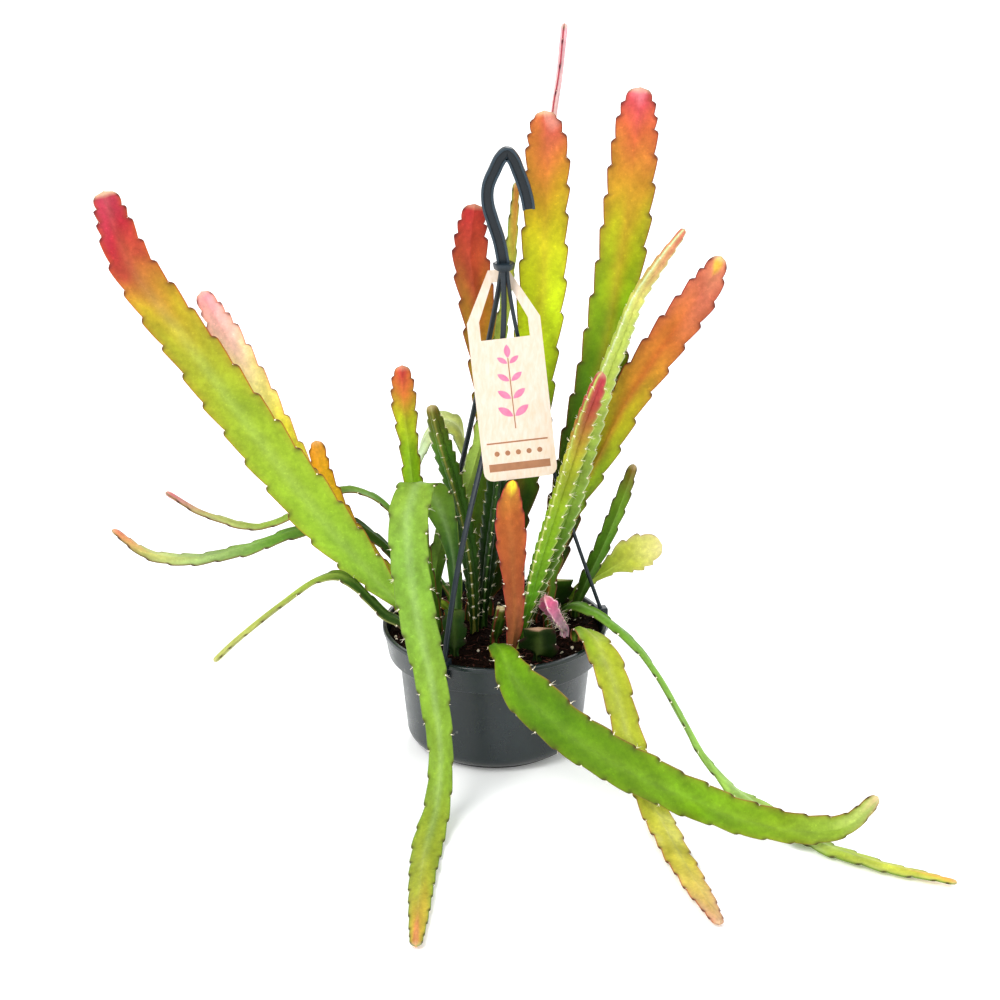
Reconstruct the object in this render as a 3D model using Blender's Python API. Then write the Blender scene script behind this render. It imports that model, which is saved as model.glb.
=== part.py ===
"""Potted fishbone cactus: strap stems in a plastic hanging pot that stands on its base.

The frame is in metres with +Z up. The origin is the middle of the pot's underside, and the
side that a viewer sees looks along -Y. Sizes below are in millimetres, and MM turns them
into metres when a mesh is made.
"""
import math
from collections import namedtuple

import bmesh
import bpy
import numpy as np

MM = 0.001
TOUCH_GAP = 0.3

# Pot
RIM_R = 76.0
RIM_Z = 86.0
BAND_Z = 66.0
BAND_R = 72.0
STEP_LOW_Z = BAND_Z + 0.4
STEP_TOP_Z = BAND_Z + 2.6
WALL_TOP_R = 65.0
WALL_LOW_R = 60.0
CORNER_R = 11.0
FOOT_R = 49.0
FOOT_H = 2.4
CORNER_START_DEG = -80.0
CORNER_STEPS = 4
FLOOR_Z = 3.4
WALL = 2.2
INNER_FOOT_R = FOOT_R - 1.0
INNER_BAND_R = BAND_R - 1.6
INNER_RIM_R = RIM_R - 3.0
BAND_SLOPE = 1.5
LIP_H = 2.0
LIP_OUT = 0.9
LIP_ROUND = 0.4
LIP_TOP = 2.6
LIP_INNER_DROP = 1.6
POT_SIDES = 36
DRAIN_RING_R = 34.0
DRAIN_R = 3.5
DRAIN_COUNT = 6
DRAIN_SIDES = 8
DRAIN_TURN = 0.4
CUT_PAST = 2.0

# Soil
SOIL_Z = 78.5
SOIL_LUMP = 0.45
SOIL_WAVES = (0.21, 0.17, 0.11, 0.19)
SOIL_SIDES = 30
SOIL_RINGS = (52.4, 35.3, 17.0)

# Stems
ROOT_DEPTH = 11.0
ROOT_RISE = 5.0
PEG_R = 3.2
FLAT_MIDRIB = 2.2
RIB_CORE = 2.8
MARGIN_HALF = 0.65
LOW_MARGIN_HALF = 1.0
TOOTH_DEPTH = 2.6
FULL_TOOTH_WIDTH = 22.0
BASE_PLAIN = 12.0
CAP_LONGEST = 12.0
CAP_PART = 0.9
TIP_STATIONS = (0.0, 0.55, 0.88, 1.0)
TIP_ROUND = 2.6
TIP_R = 1.3
TIP_CORE_PART = 0.35
TIP_CORE_LEAST = 0.9
AREOLE_SPIKE = 2.6
SPIKE_RUN = 1.7
SPIKE_HALF = 0.35
SPIKE_EVERY = 2
SHOULDER = 0.84
SHOULDER_ROOM = 3.0
TIP_PITCH = 14.0
TIP_RUN = 110.0
VALLEY_STEP = 14.0
TWIST_RUN = 110.0

# Hanger. Each leg has its angle, how late it spreads and how far the tag holds it in.
HUB_X = 6.0
COLLAR_Z = 336.0
COLLAR_H = 4.5
COLLAR_LOW_R = 6.6
COLLAR_TOP_R = 7.2
COLLAR_SIDES = 6
LEGS = ((14.0, 1.32, 0.0), (125.0, 1.1, 0.0), (243.5, 1.5, 0.6))
LEG_WIDE = 3.4
LEG_THICK = 2.4
LEG_HUB_R = 1.9
LEG_END_R = 74.5
LEG_STATIONS = 18
HOOK_WIDE = 8.2
HOOK_DEEP = 5.2
HOOK_WEB = 2.2
HOOK_FLANGE = 1.7
HOOK_STEPS = 2
HOOK_ROUTE = (
    (6, 338.5), (3, 355), (-1.2, 368.5), (-4.4, 381), (-4, 392), (0, 402), (4, 410),
    (8, 413.3), (11.8, 409.5), (15, 402), (18.6, 392), (21.2, 382), (22, 376.5),
)
CLIP_WIDE = 7.0
CLIP_TOP = 2.6
CLIP_OUT_H = 14.0
CLIP_IN_H = 5.4
CLIP_THICK = 2.2
CLIP_DRAFT = 0.4
CLIP_BEVEL = 1.0
CLIP_LIP = 3.4

# Hang tag, in its own plane: across from the middle, down from the top edge
TAG_TOP = (2.0, 9.0, 333.0)
TAG_LEAN_DEG = 17.5
TAG_ROLL_DEG = 6.5
TAG_THICK = 0.9
TAG_LENGTH = 137.0
TAG_HALF = 24.0
TAG_SHOULDER = 33.0
TAG_PEAK_HALF = 6.5
TAG_CORNER = 6.0
TAG_CORNER_STEPS = 4
TAG_OPEN_TOP = 8.3
TAG_OPEN_TOP_HALF = 5.0
TAG_OPEN_LOW = 45.0
TAG_OPEN_HALF = 16.0

GREEN = (0.16, 0.30, 0.05)
YELLOW_GREEN = (0.42, 0.50, 0.08)
PALE_GREEN = (0.50, 0.58, 0.22)
DARK_GREEN = (0.05, 0.12, 0.04)
RED = (0.45, 0.10, 0.05)
ORANGE = (0.62, 0.20, 0.06)
PINK = (0.70, 0.30, 0.32)
CHARCOAL = (0.035, 0.042, 0.047)
SLATE = (0.09, 0.13, 0.17)
EARTH = (0.035, 0.018, 0.010)
CARD = (0.75, 0.66, 0.50)

SIDEWAYS = (1, 0, 0)
UPWARD = (0, 0, 1)
INWARD = (0, 1, 0)
FORWARD = (0, -1, 0)

# A stem's path is a list of places from the soil to the tip, each (x, y, z, full width).
# Its ribs run out evenly round it, the first one towards `across`, which turns to `later`
# over the first TWIST_RUN where a stem twists.
Stem = namedtuple("Stem", "name ribs pitch across colour path cut later")
Stem.__new__.__defaults__ = (False, None)

STEMS = (
    Stem("stem_tall_left", 2, 24, SIDEWAYS, YELLOW_GREEN, (
        (-54, 6, 78, 7), (-72, 5, 107, 19), (-104, 3, 146, 35), (-148, 0, 208, 38),
        (-195, -5, 281, 36), (-235, -8, 345, 30), (-249, -10, 391, 19))),
    Stem("stem_left_behind", 2, 21, SIDEWAYS, YELLOW_GREEN, (
        (-46, 20, 78, 7), (-91, 22, 123, 15), (-129, 25, 184, 20), (-154, 27, 234, 23),
        (-178, 27, 283, 21), (-193, 27, 312, 13))),
    Stem("stem_left_small_behind", 2, 17, SIDEWAYS, YELLOW_GREEN, (
        (-32, 28, 78, 6), (-72, 36, 106, 11), (-98, 38, 138, 15), (-116, 40, 174, 16),
        (-121, 40, 202, 11))),
    Stem("stem_left_narrow", 2, 17, INWARD, PINK, (
        (-30, 46, 78, 6), (-59, 60, 119, 8), (-75, 68, 143, 12), (-102, 70, 155, 14),
        (-132, 70, 140, 14), (-162, 70, 127, 14), (-199, 68, 136, 12), (-227, 66, 154, 6))),
    Stem("stem_left_curled", 2, 18, (0, 1, 0.8), ORANGE, (
        (-44, 38, 78, 6), (-66, 48, 108, 9), (-79, 51, 123, 12), (-103, 52, 138, 14),
        (-134, 52, 131, 15), (-175, 50, 117, 15), (-210, 49, 111, 14), (-237, 49, 114, 13),
        (-263, 49, 133, 7)), False, (0, 1, 0.3)),
    Stem("stem_left_straight", 2, 17, (0, 1, 0.6), PALE_GREEN, (
        (-52, -14, 78, 7), (-74, -12, 97, 12), (-102, -11, 124, 13), (-119, -10, 121, 9),
        (-143, -11, 104, 9), (-174, -12, 78, 9), (-190, -12, 62, 6)), False, (0, 1, 0.1)),
    Stem("stem_front_drooping", 2, 19, SIDEWAYS, PALE_GREEN, (
        (-27, -16, 78, 7), (-26, -14, 110, 9), (-29, -12, 148, 12), (-40, -15, 184, 24),
        (-50, -26, 196, 26), (-56, -44, 182, 27), (-55, -60, 152, 26), (-49, -76, 118, 25),
        (-41, -92, 85, 22), (-35, -111, 43, 17), (-37, -130, 15, 18), (-42, -156, 3.6, 21),
        (-45, -200, 3.2, 18), (-46, -245, 3.2, 14), (-47, -288, 3.2, 8))),
    Stem("stem_left_short", 2, 17, SIDEWAYS, YELLOW_GREEN, (
        (-38, -4, 78, 6), (-46, 1, 130, 9), (-53, 5, 173, 14), (-57, 6, 212, 14),
        (-60, 6, 244, 18), (-61, 6, 268, 13))),
    Stem("stem_mid_ribbed", 3, 17, FORWARD, DARK_GREEN, (
        (-14, -1, 78, 7), (-17, -1, 135, 15), (-26, -1, 181, 16), (-35, 0, 213, 17),
        (-42, 1, 242, 10))),
    Stem("stem_mid_dark", 3, 17, FORWARD, DARK_GREEN, (
        (-8, 9, 78, 7), (-5, 10, 125, 16), (1, 11, 175, 18), (4, 12, 214, 10))),
    Stem("stem_back_pale", 2, 18, (0, 1, 0.8), PALE_GREEN, (
        (-10, 46, 78, 7), (-15, 50, 125, 14), (-19, 55, 167, 18), (-22, 57, 192, 20),
        (-28, 58, 206, 20), (-37, 58, 209, 19), (-45, 57, 199, 17), (-50, 56, 187, 14),
        (-53, 56, 177, 8))),
    Stem("stem_mid_edge_on", 2, 19, (1, 0.4, 0), PALE_GREEN, (
        (-39, 11, 78, 7), (-41, 16, 113, 13), (-34, 16, 147, 14), (-20, 15, 177, 13),
        (-13, 14, 200, 13), (-10, 14, 212, 12), (-4, 15, 243, 12), (2, 17, 275, 11),
        (7, 22, 307, 9), (11, 21, 346, 9), (14, 21, 388, 5))),
    Stem("stem_back_red", 2, 23, SIDEWAYS, RED, (
        (-4, 27, 78, 7), (-9, 30, 125, 20), (-3, 34, 185, 24), (-3, 40, 232, 25),
        (-10, 43, 287, 25), (-16, 43, 335, 25), (-13, 43, 367, 16))),
    Stem("stem_back_centre_tall", 2, 24, SIDEWAYS, YELLOW_GREEN, (
        (-18, 20, 78, 7), (-7, 22, 102, 20), (8, 24, 142, 25), (18, 27, 184, 29),
        (23, 27, 220, 31), (26, 27, 257, 31), (31, 27, 313, 33), (33, 27, 360, 31),
        (34, 27, 408, 29), (32, 27, 434, 18))),
    Stem("stem_back_thin", 2, 25, (0.2, 1, 0), PINK, (
        (18, 42, 78, 6), (20, 43, 170, 12), (23, 46, 264, 12), (30, 46, 348, 12),
        (38, 45, 424, 11), (42, 44, 455, 10), (45, 43, 487, 5))),
    Stem("stem_right_tall", 2, 24, SIDEWAYS, YELLOW_GREEN, (
        (26, 16, 78, 7), (37, 18, 118, 19), (47, 18, 161, 26), (58, 17, 211, 30),
        (70, 16, 260, 33), (77, 16, 302, 33), (83, 16, 344, 33), (88, 16, 390, 33),
        (91, 16, 429, 28), (93, 16, 452, 18))),
    Stem("stem_right_three_angled", 3, 20, SIDEWAYS, PALE_GREEN, (
        (20, -6, 78, 7), (32, -7, 128, 17), (47, -9, 169, 18), (61, -4, 220, 18),
        (72, -3, 263, 17), (82, -3, 291, 15), (92, -3, 318, 13), (107, -4, 343, 11),
        (122, -4, 364, 6))),
    Stem("stem_right_red", 2, 22, SIDEWAYS, RED, (
        (36, 6, 78, 7), (37, 6, 122, 15), (47, 6, 160, 18), (69, 7, 204, 24),
        (85, 8, 239, 27), (105, 8, 273, 28), (124, 8, 301, 27), (137, 8, 321, 24),
        (147, 8, 342, 11))),
    Stem("stem_right_small_ribbed", 3, 17, SIDEWAYS, RED, (
        (16, -25, 78, 7), (29, -35, 145, 16), (41, -40, 190, 16), (49, -42, 218, 17),
        (57, -42, 246, 17), (64, -41, 266, 15), (69, -41, 280, 9))),
    Stem("stem_front_orange", 2, 17, SIDEWAYS, ORANGE, (
        (11, -39, 78, 7), (13, -40, 98, 11), (13, -40, 121, 14), (12, -40, 140, 16),
        (11, -40, 162, 21), (10, -40, 186, 18), (12, -40, 205, 7))),
    Stem("stem_right_short", 2, 16, SIDEWAYS, YELLOW_GREEN, (
        (55, 25, 78, 6), (62, 26, 105, 10), (70, 25, 124, 12), (79, 21, 149, 12),
        (87, 17, 174, 11), (93, 14, 195, 6))),
    Stem("stem_right_pale_oval", 2, 14, (-0.6, 0, 1), PALE_GREEN, (
        (48, 37, 78, 6), (66, 35, 102, 9), (78, 32, 112, 13), (90, 29, 121, 26),
        (103, 27, 128, 26), (114, 27, 131, 17))),
    Stem("stem_right_long_thin", 2, 20, (0.3, 1, 0.3), GREEN, (
        (46, 16, 78, 7), (49, 12, 91, 9), (58, 3, 95.5, 11), (73, -9, 92.5, 12),
        (92, -18, 79, 13), (110, -31, 59, 14), (125, -48, 37, 15), (141, -71, 16, 16),
        (158, -91, 4.6, 17), (176, -116, 3.2, 17), (196, -148, 3.2, 17), (218, -172, 3.2, 16),
        (250, -193, 3.2, 14), (288, -211, 3.2, 7)), False, INWARD),
    Stem("stem_front_right_broad", 2, 18, SIDEWAYS, GREEN, (
        (0, -41, 78, 8), (0, -52, 92, 11), (6, -71, 94.5, 17), (13, -88, 85, 29),
        (31, -105, 72, 38), (55, -119, 57, 37), (85, -131, 43, 35), (116, -143, 32, 32),
        (141, -153, 25, 29), (168, -162, 20, 26), (195, -168, 18, 23), (221, -168, 20, 18),
        (243, -163, 38, 10)), False, UPWARD),
    Stem("stem_front_right_second", 2, 19, SIDEWAYS, YELLOW_GREEN, (
        (54, -14, 78, 7), (57, -28, 93, 10), (64, -42, 94, 17), (71, -55, 88, 21),
        (78, -68, 75, 22), (83, -82, 61, 20), (88, -97, 46, 20), (96, -108, 24, 20),
        (104, -122, 7, 20), (110, -145, 3.2, 20), (117, -180, 3.2, 19), (127, -222, 3.2, 16),
        (137, -262, 3.2, 8))),
    Stem("stem_right_flat_basal", 2, 9, (1, 0, -0.12), DARK_GREEN, (
        (38, 29, 78, 7), (38, 29, 88, 25), (38, 29, 96, 32), (38, 28, 105, 33)), True),
    Stem("stem_pink_shoot", 4, 9, SIDEWAYS, PINK, (
        (47, -7, 78, 6), (44, -12, 90, 9), (39, -19, 101, 11), (36, -22, 108, 14),
        (33, -25, 116, 11))),
    Stem("stub_pale_top", 3, 10, SIDEWAYS, DARK_GREEN, (
        (0, -20, 78, 6), (1, -21, 90, 11), (4, -22, 106, 8)), True),
    Stem("stub_front", 2, 11, SIDEWAYS, DARK_GREEN, (
        (28, -46, 78, 7), (29, -46, 85, 22), (29, -46, 102, 22)), True),
    Stem("stub_front_left", 2, 11, SIDEWAYS, DARK_GREEN, (
        (-27, -38, 78, 7), (-27, -37, 87, 16), (-27, -36, 111, 15)), True),
)


def clear_scene():
    for obj in list(bpy.data.objects):
        bpy.data.objects.remove(obj, do_unlink=True)


def make_material(name, colour, roughness):
    material = bpy.data.materials.new(name)
    material.use_nodes = True
    shader = material.node_tree.nodes["Principled BSDF"]
    shader.inputs["Base Color"].default_value = (*colour, 1.0)
    shader.inputs["Roughness"].default_value = roughness
    return material


def make_object(name, points, faces, material=None):
    """An object from points in millimetres and faces, with its faces turned outwards."""
    mesh = bpy.data.meshes.new(name)
    mesh.from_pydata([tuple(MM * float(c) for c in point) for point in points], [], faces)
    form = bmesh.new()
    form.from_mesh(mesh)
    bmesh.ops.recalc_face_normals(form, faces=form.faces)
    form.to_mesh(mesh)
    form.free()
    obj = bpy.data.objects.new(name, mesh)
    bpy.context.scene.collection.objects.link(obj)
    if material:
        mesh.materials.append(material)
    return obj


def shade_round(obj, degrees=35):
    obj.data.shade_smooth()
    obj.data.set_sharp_from_angle(angle=math.radians(degrees))


def apply_boolean(obj, others, operation):
    """Cut the other objects out of one, or join them to it, and remove them."""
    group = bpy.data.collections.new(obj.name + "_tools")
    for other in others:
        other.hide_render = True
        other.display_type = "WIRE"
        group.objects.link(other)
    boolean = obj.modifiers.new(operation.lower(), "BOOLEAN")
    boolean.operation = operation
    boolean.solver = "EXACT"
    boolean.operand_type = "COLLECTION"
    boolean.collection = group
    depsgraph = bpy.context.evaluated_depsgraph_get()
    result = bpy.data.meshes.new_from_object(obj.evaluated_get(depsgraph))
    obj.modifiers.clear()
    obj.data = result
    for other in others:
        bpy.data.objects.remove(other, do_unlink=True)
    bpy.data.collections.remove(group)


def turned(profile, sides):
    """Points and faces of a closed outline (radius, height) turned about the Z axis."""
    points = []
    rings = []
    for radius, height in profile:
        if radius == 0:
            rings.append([len(points)] * sides)
            points.append((0, 0, height))
            continue
        rings.append([len(points) + i for i in range(sides)])
        for i in range(sides):
            angle = 2 * math.pi * i / sides
            points.append((radius * math.cos(angle), radius * math.sin(angle), height))
    faces = []
    for low, high in zip(rings, rings[1:]):
        for i in range(sides):
            j = (i + 1) % sides
            corners = [low[i], low[j], high[j], high[i]]
            face = [c for k, c in enumerate(corners) if c != corners[k - 1]]
            faces.append(face)
    return points, faces


def drum(name, x, y, low, high, radius, sides, turn=0.0):
    """A plain upright cylinder, used as a cutter."""
    points = []
    for height in (low, high):
        for i in range(sides):
            angle = turn + 2 * math.pi * i / sides
            points.append((x + radius * math.cos(angle), y + radius * math.sin(angle), height))
    faces = [list(range(sides)), list(range(sides, 2 * sides))]
    for i in range(sides):
        j = (i + 1) % sides
        faces.append([i, j, sides + j, sides + i])
    return make_object(name, points, faces)


def inner_radius(height):
    """Radius of the pot's inside at a height, as straight runs between its bends."""
    heights = [FLOOR_Z, FLOOR_Z + CORNER_R, STEP_LOW_Z, STEP_TOP_Z, RIM_Z]
    radii = [INNER_FOOT_R, WALL_LOW_R - WALL, WALL_TOP_R - WALL, INNER_BAND_R, INNER_RIM_R]
    return float(np.interp(height, heights, radii))


def build_pot(material):
    """The pot: a foot, a rounded corner, a wall, a wider band with a lip, and its inside."""
    corner = []
    for step in range(CORNER_STEPS + 1):
        angle = math.radians(CORNER_START_DEG * (1 - step / CORNER_STEPS))
        corner.append((WALL_LOW_R - CORNER_R + CORNER_R * math.cos(angle),
                       FOOT_H + CORNER_R + CORNER_R * math.sin(angle)))
    inside = [(inner_radius(z), z) for z in
              (RIM_Z - LIP_INNER_DROP, STEP_TOP_Z, STEP_LOW_Z, FLOOR_Z + CORNER_R, FLOOR_Z)]
    profile = [(0, 0), (FOOT_R, 0), (FOOT_R, FOOT_H)] + corner
    profile += [(WALL_TOP_R, BAND_Z - BAND_SLOPE), (BAND_R, BAND_Z),
                (RIM_R - LIP_OUT, RIM_Z - LIP_H - LIP_ROUND), (RIM_R, RIM_Z - LIP_H),
                (RIM_R, RIM_Z - LIP_ROUND), (RIM_R - LIP_ROUND, RIM_Z), (RIM_R - LIP_TOP, RIM_Z)]
    profile += inside + [(0, FLOOR_Z)]
    pot = make_object("pot", *turned(profile, POT_SIDES), material)
    drains = []
    for i in range(DRAIN_COUNT):
        angle = 2 * math.pi * (i + DRAIN_TURN) / DRAIN_COUNT
        x = DRAIN_RING_R * math.cos(angle)
        y = DRAIN_RING_R * math.sin(angle)
        drains.append(drum("drain", x, y, -CUT_PAST, FLOOR_Z + CUT_PAST, DRAIN_R, DRAIN_SIDES))
    apply_boolean(pot, drains, "DIFFERENCE")
    shade_round(pot)


def soil_height(x, y):
    """The lumpy top of the soil."""
    a, b, c, d = SOIL_WAVES
    return SOIL_Z + SOIL_LUMP * (math.sin(a * x + 1) * math.cos(b * y) + math.sin(c * x - d * y))


def build_soil(material):
    """The potting mix: it fills the pot to below its lip and has a hole for each stem."""
    wall = [(inner_radius(height) - TOUCH_GAP, height) for height in
            (FLOOR_Z + TOUCH_GAP, FLOOR_Z + CORNER_R, STEP_LOW_Z, STEP_TOP_Z, SOIL_Z)]
    rings = wall + [(radius, None) for radius in SOIL_RINGS]
    points = [(0, 0, FLOOR_Z + TOUCH_GAP)]
    for radius, height in rings:
        for i in range(SOIL_SIDES):
            angle = 2 * math.pi * i / SOIL_SIDES
            x = radius * math.cos(angle)
            y = radius * math.sin(angle)
            points.append((x, y, soil_height(x, y) if height is None else height))
    points.append((0, 0, soil_height(0, 0)))
    top = len(points) - 1
    last = top - SOIL_SIDES
    faces = []
    for i in range(SOIL_SIDES):
        j = (i + 1) % SOIL_SIDES
        faces.append([0, 1 + j, 1 + i])
        for ring in range(len(rings) - 1):
            low = 1 + ring * SOIL_SIDES
            high = low + SOIL_SIDES
            faces.append([low + i, low + j, high + j])
            faces.append([low + i, high + j, high + i])
        faces.append([last + i, last + j, top])
    soil = make_object("soil", points, faces, material)
    holes = []
    for stem in STEMS:
        x, y = stem.path[0][:2]
        holes.append(drum("hole", x, y, SOIL_Z - ROOT_DEPTH - TOUCH_GAP, SOIL_Z + CUT_PAST,
                          PEG_R + TOUCH_GAP, 3 * stem.ribs, peg_turn(stem)))
    apply_boolean(soil, holes, "DIFFERENCE")


def peg_turn(stem):
    """Angle of the first corner of the round peg that a stem stands on."""
    across = np.array(stem.across[:2], float)
    start = math.atan2(across[1], across[0]) if np.any(across) else 0.0
    return start + math.pi / (3 * stem.ribs)


def between(t, low, high, one, two):
    """The value on the straight line that is `one` at `low` and `two` at `high`."""
    return ((high - t) * one + (t - low) * two) / (high - low)


def smooth_route(rows, steps=20):
    """Centripetal Catmull-Rom curve through the rows, which may hold a width as well."""
    rows = np.array(rows, float)
    rows = np.vstack([2 * rows[0] - rows[1], rows, 2 * rows[-1] - rows[-2]])
    out = []
    for i in range(1, len(rows) - 2):
        four = rows[i - 1:i + 3]
        knots = [0.0]
        for a, b in zip(four, four[1:]):
            knots.append(knots[-1] + np.linalg.norm((b - a)[:3]) ** 0.5)
        for t in np.linspace(knots[1], knots[2], steps, endpoint=False):
            ones = [between(t, knots[k], knots[k + 1], four[k], four[k + 1]) for k in range(3)]
            twos = [between(t, knots[k], knots[k + 2], ones[k], ones[k + 1]) for k in range(2)]
            out.append(between(t, knots[1], knots[2], twos[0], twos[1]))
    out.append(rows[-2])
    return np.array(out)


class Run:
    """A stem's centre line by distance from the soil, with its width and its cross frame."""

    def __init__(self, stem):
        x, y = stem.path[0][:2]
        rows = [(x, y, SOIL_Z, 2 * PEG_R), (x, y, SOIL_Z + ROOT_RISE, 2 * PEG_R)]
        rows += list(stem.path[1:])
        self.points = smooth_route(rows)
        gaps = np.linalg.norm(np.diff(self.points[:, :3], axis=0), axis=1)
        self.marks = np.concatenate([[0], np.cumsum(gaps)])
        self.length = float(self.marks[-1])
        self.across = np.array(stem.across, float)
        self.later = np.array(stem.later or stem.across, float)

    def at(self, s):
        return np.array([np.interp(s, self.marks, self.points[:, k]) for k in range(4)])

    def frame(self, s):
        """Centre, width direction and the direction square to both it and the stem."""
        step = 1.5
        if s <= 0.01:
            tangent = np.array([0.0, 0.0, 1.0])
        else:
            low = self.at(max(0.0, s - step))[:3]
            high = self.at(min(self.length, s + step))[:3]
            tangent = (high - low) / np.linalg.norm(high - low)
        turn = min(1.0, max(0.0, s / TWIST_RUN))
        across = (1 - turn) * self.across + turn * self.later
        wide = across - np.dot(across, tangent) * tangent
        wide /= np.linalg.norm(wide)
        return self.at(s)[:3], wide, np.cross(tangent, wide)


def tip_shrink(s, length, cap):
    """1 along a stem, falling to 0 as a round end over its last stretch."""
    if cap == 0 or s < length - cap:
        return 1.0
    u = (s - (length - cap)) / cap
    return max(0.0, 1 - u ** TIP_ROUND) ** (1 / TIP_ROUND)


def tooth_marks(stem, rib, full):
    """Distances of the notches along one margin, closer together towards the tip."""
    marks = []
    place = BASE_PLAIN + stem.pitch * (rib % 2) * 0.5
    least = min(stem.pitch, TIP_PITCH)
    while place < full - SHOULDER_ROOM:
        marks.append(place)
        place += least + (stem.pitch - least) * min(1.0, (full - place) / TIP_RUN)
    return marks + [place]


def margin_stations(run, stem, rib, cap):
    """(distance, inset, edge half thickness) along one toothed margin.

    Each tooth widens towards the tip, rounds off at its shoulder and steps back in at the
    notch, where a small spike stands out. Teeth of neighbouring ribs take turns.
    """
    full = run.length - cap
    rows = [(0.0, 0.0, PEG_R * math.sin(math.pi / (3 * stem.ribs))),
            (BASE_PLAIN * 0.5, 0.0, LOW_MARGIN_HALF)]
    marks = tooth_marks(stem, rib, full)
    for i, (notch, following) in enumerate(zip(marks, marks[1:])):
        depth = TOOTH_DEPTH * min(1.0, run.at(notch)[3] / FULL_TOOTH_WIDTH)
        rows.append((notch, depth, MARGIN_HALF))
        if i % SPIKE_EVERY == 0:
            rows.append((notch + 0.5 * SPIKE_RUN, depth - AREOLE_SPIKE, SPIKE_HALF))
            rows.append((notch + SPIKE_RUN, depth, MARGIN_HALF))
        shoulder = notch + SHOULDER * (following - notch)
        if shoulder < full - 0.5 * SHOULDER_ROOM:
            rows.append((shoulder, 0.0, MARGIN_HALF))
    ends = (1.0,) if stem.cut else TIP_STATIONS
    rows += [(full + part * cap, 0.0, MARGIN_HALF) for part in ends]
    return rows


def zip_strip(faces, one, one_marks, two, two_marks):
    """Fill the strip between two lines of points with triangles, walking both by distance."""
    i = 0
    j = 0
    while i < len(one) - 1 or j < len(two) - 1:
        move_one = j == len(two) - 1
        if not move_one and i < len(one) - 1:
            move_one = one_marks[i + 1] <= two_marks[j + 1]
        if move_one:
            faces.append([one[i], one[i + 1], two[j]])
            i += 1
        else:
            faces.append([one[i], two[j + 1], two[j]])
            j += 1


def stem_mesh(stem):
    """Points and faces of one stem: toothed margins and the valleys between its ribs."""
    run = Run(stem)
    cap = 0.0 if stem.cut else min(CAP_LONGEST, CAP_PART * stem.path[-1][3])
    corner = math.pi / (3 * stem.ribs)
    points = []
    lines = []

    def add_line(peg_angle, marks, place):
        line = [len(points) + i for i in range(len(marks) + 1)]
        points.append(peg_corner(run, peg_angle))
        points.extend(place(k) for k in range(len(marks)))
        lines.append((line, [-ROOT_DEPTH] + marks))

    for rib in range(stem.ribs):
        angle = 2 * math.pi * rib / stem.ribs
        margin = margin_stations(run, stem, rib, cap)
        for side in (-1, 1):
            add_line(angle + side * corner, [row[0] for row in margin],
                     lambda k: margin_point(run, margin[k], angle, side, cap, corner))
        stops = valley_stops(run.length, cap)
        valley = angle + math.pi / stem.ribs
        add_line(valley, stops, lambda k: valley_point(run, stops[k], valley, stem.ribs, cap))

    faces = []
    for (one, one_marks), (two, two_marks) in zip(lines, lines[1:] + lines[:1]):
        zip_strip(faces, one, one_marks, two, two_marks)
    faces.append([line[0] for line, _ in lines])
    faces.append([line[-1] for line, _ in reversed(lines)])
    return points, faces


def peg_corner(run, angle):
    """A corner of the round peg at the bottom of a stem's hole."""
    centre, wide, deep = run.frame(0.0)
    out = math.cos(angle) * wide + math.sin(angle) * deep
    return centre + PEG_R * out - np.array([0, 0, ROOT_DEPTH])


def margin_point(run, row, angle, side, cap, corner):
    """One of the two points of a rib's thin edge at a station of its margin."""
    s, inset, half = row
    centre, wide, deep = run.frame(s)
    out = math.cos(angle) * wide + math.sin(angle) * deep
    flat = -math.sin(angle) * wide + math.cos(angle) * deep
    reach = PEG_R * math.cos(corner)
    if s > 0:
        reach = max(TIP_R, (0.5 * run.at(s)[3] - inset) * tip_shrink(s, run.length, cap))
    return centre + reach * out + side * half * flat


def valley_stops(length, cap):
    """Distances of the points along the line between two ribs."""
    count = max(3, round((length - cap) / VALLEY_STEP))
    stops = [0.0, 0.6 * BASE_PLAIN] + list(np.linspace(BASE_PLAIN, length - cap, count))
    if cap:
        stops += [length - 0.5 * cap, length]
    return stops


def valley_point(run, s, angle, ribs, cap):
    """A point of the line between two ribs, where a flat stem has its midrib."""
    centre, wide, deep = run.frame(s)
    out = math.cos(angle) * wide + math.sin(angle) * deep
    core = FLAT_MIDRIB if ribs == 2 else RIB_CORE
    reach = PEG_R + (core - PEG_R) * min(1.0, s / BASE_PLAIN)
    reach *= TIP_CORE_PART + (1 - TIP_CORE_PART) * tip_shrink(s, run.length, cap)
    return centre + max(TIP_CORE_LEAST, reach) * out


def build_stems(materials):
    for stem in STEMS:
        obj = make_object(stem.name, *stem_mesh(stem), materials[stem.colour])
        shade_round(obj, 50)


def leg_place(leg, f):
    """Centre of a hanger leg at a fraction f of the way down from the collar to the rim."""
    angle_deg, late, held = leg
    spread = f ** late - held * math.sin(2 * math.pi * f) / (2 * math.pi)
    angle = math.radians(angle_deg)
    end_x = LEG_END_R * math.cos(angle)
    end_y = LEG_END_R * math.sin(angle)
    start_x = HUB_X + LEG_HUB_R * math.cos(angle)
    start_y = LEG_HUB_R * math.sin(angle)
    low = RIM_Z + TOUCH_GAP + 0.5 * CLIP_TOP
    return np.array([start_x + spread * (end_x - start_x), start_y + spread * (end_y - start_y),
                     COLLAR_Z + 1 + f * (low - COLLAR_Z - 1)])


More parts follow.
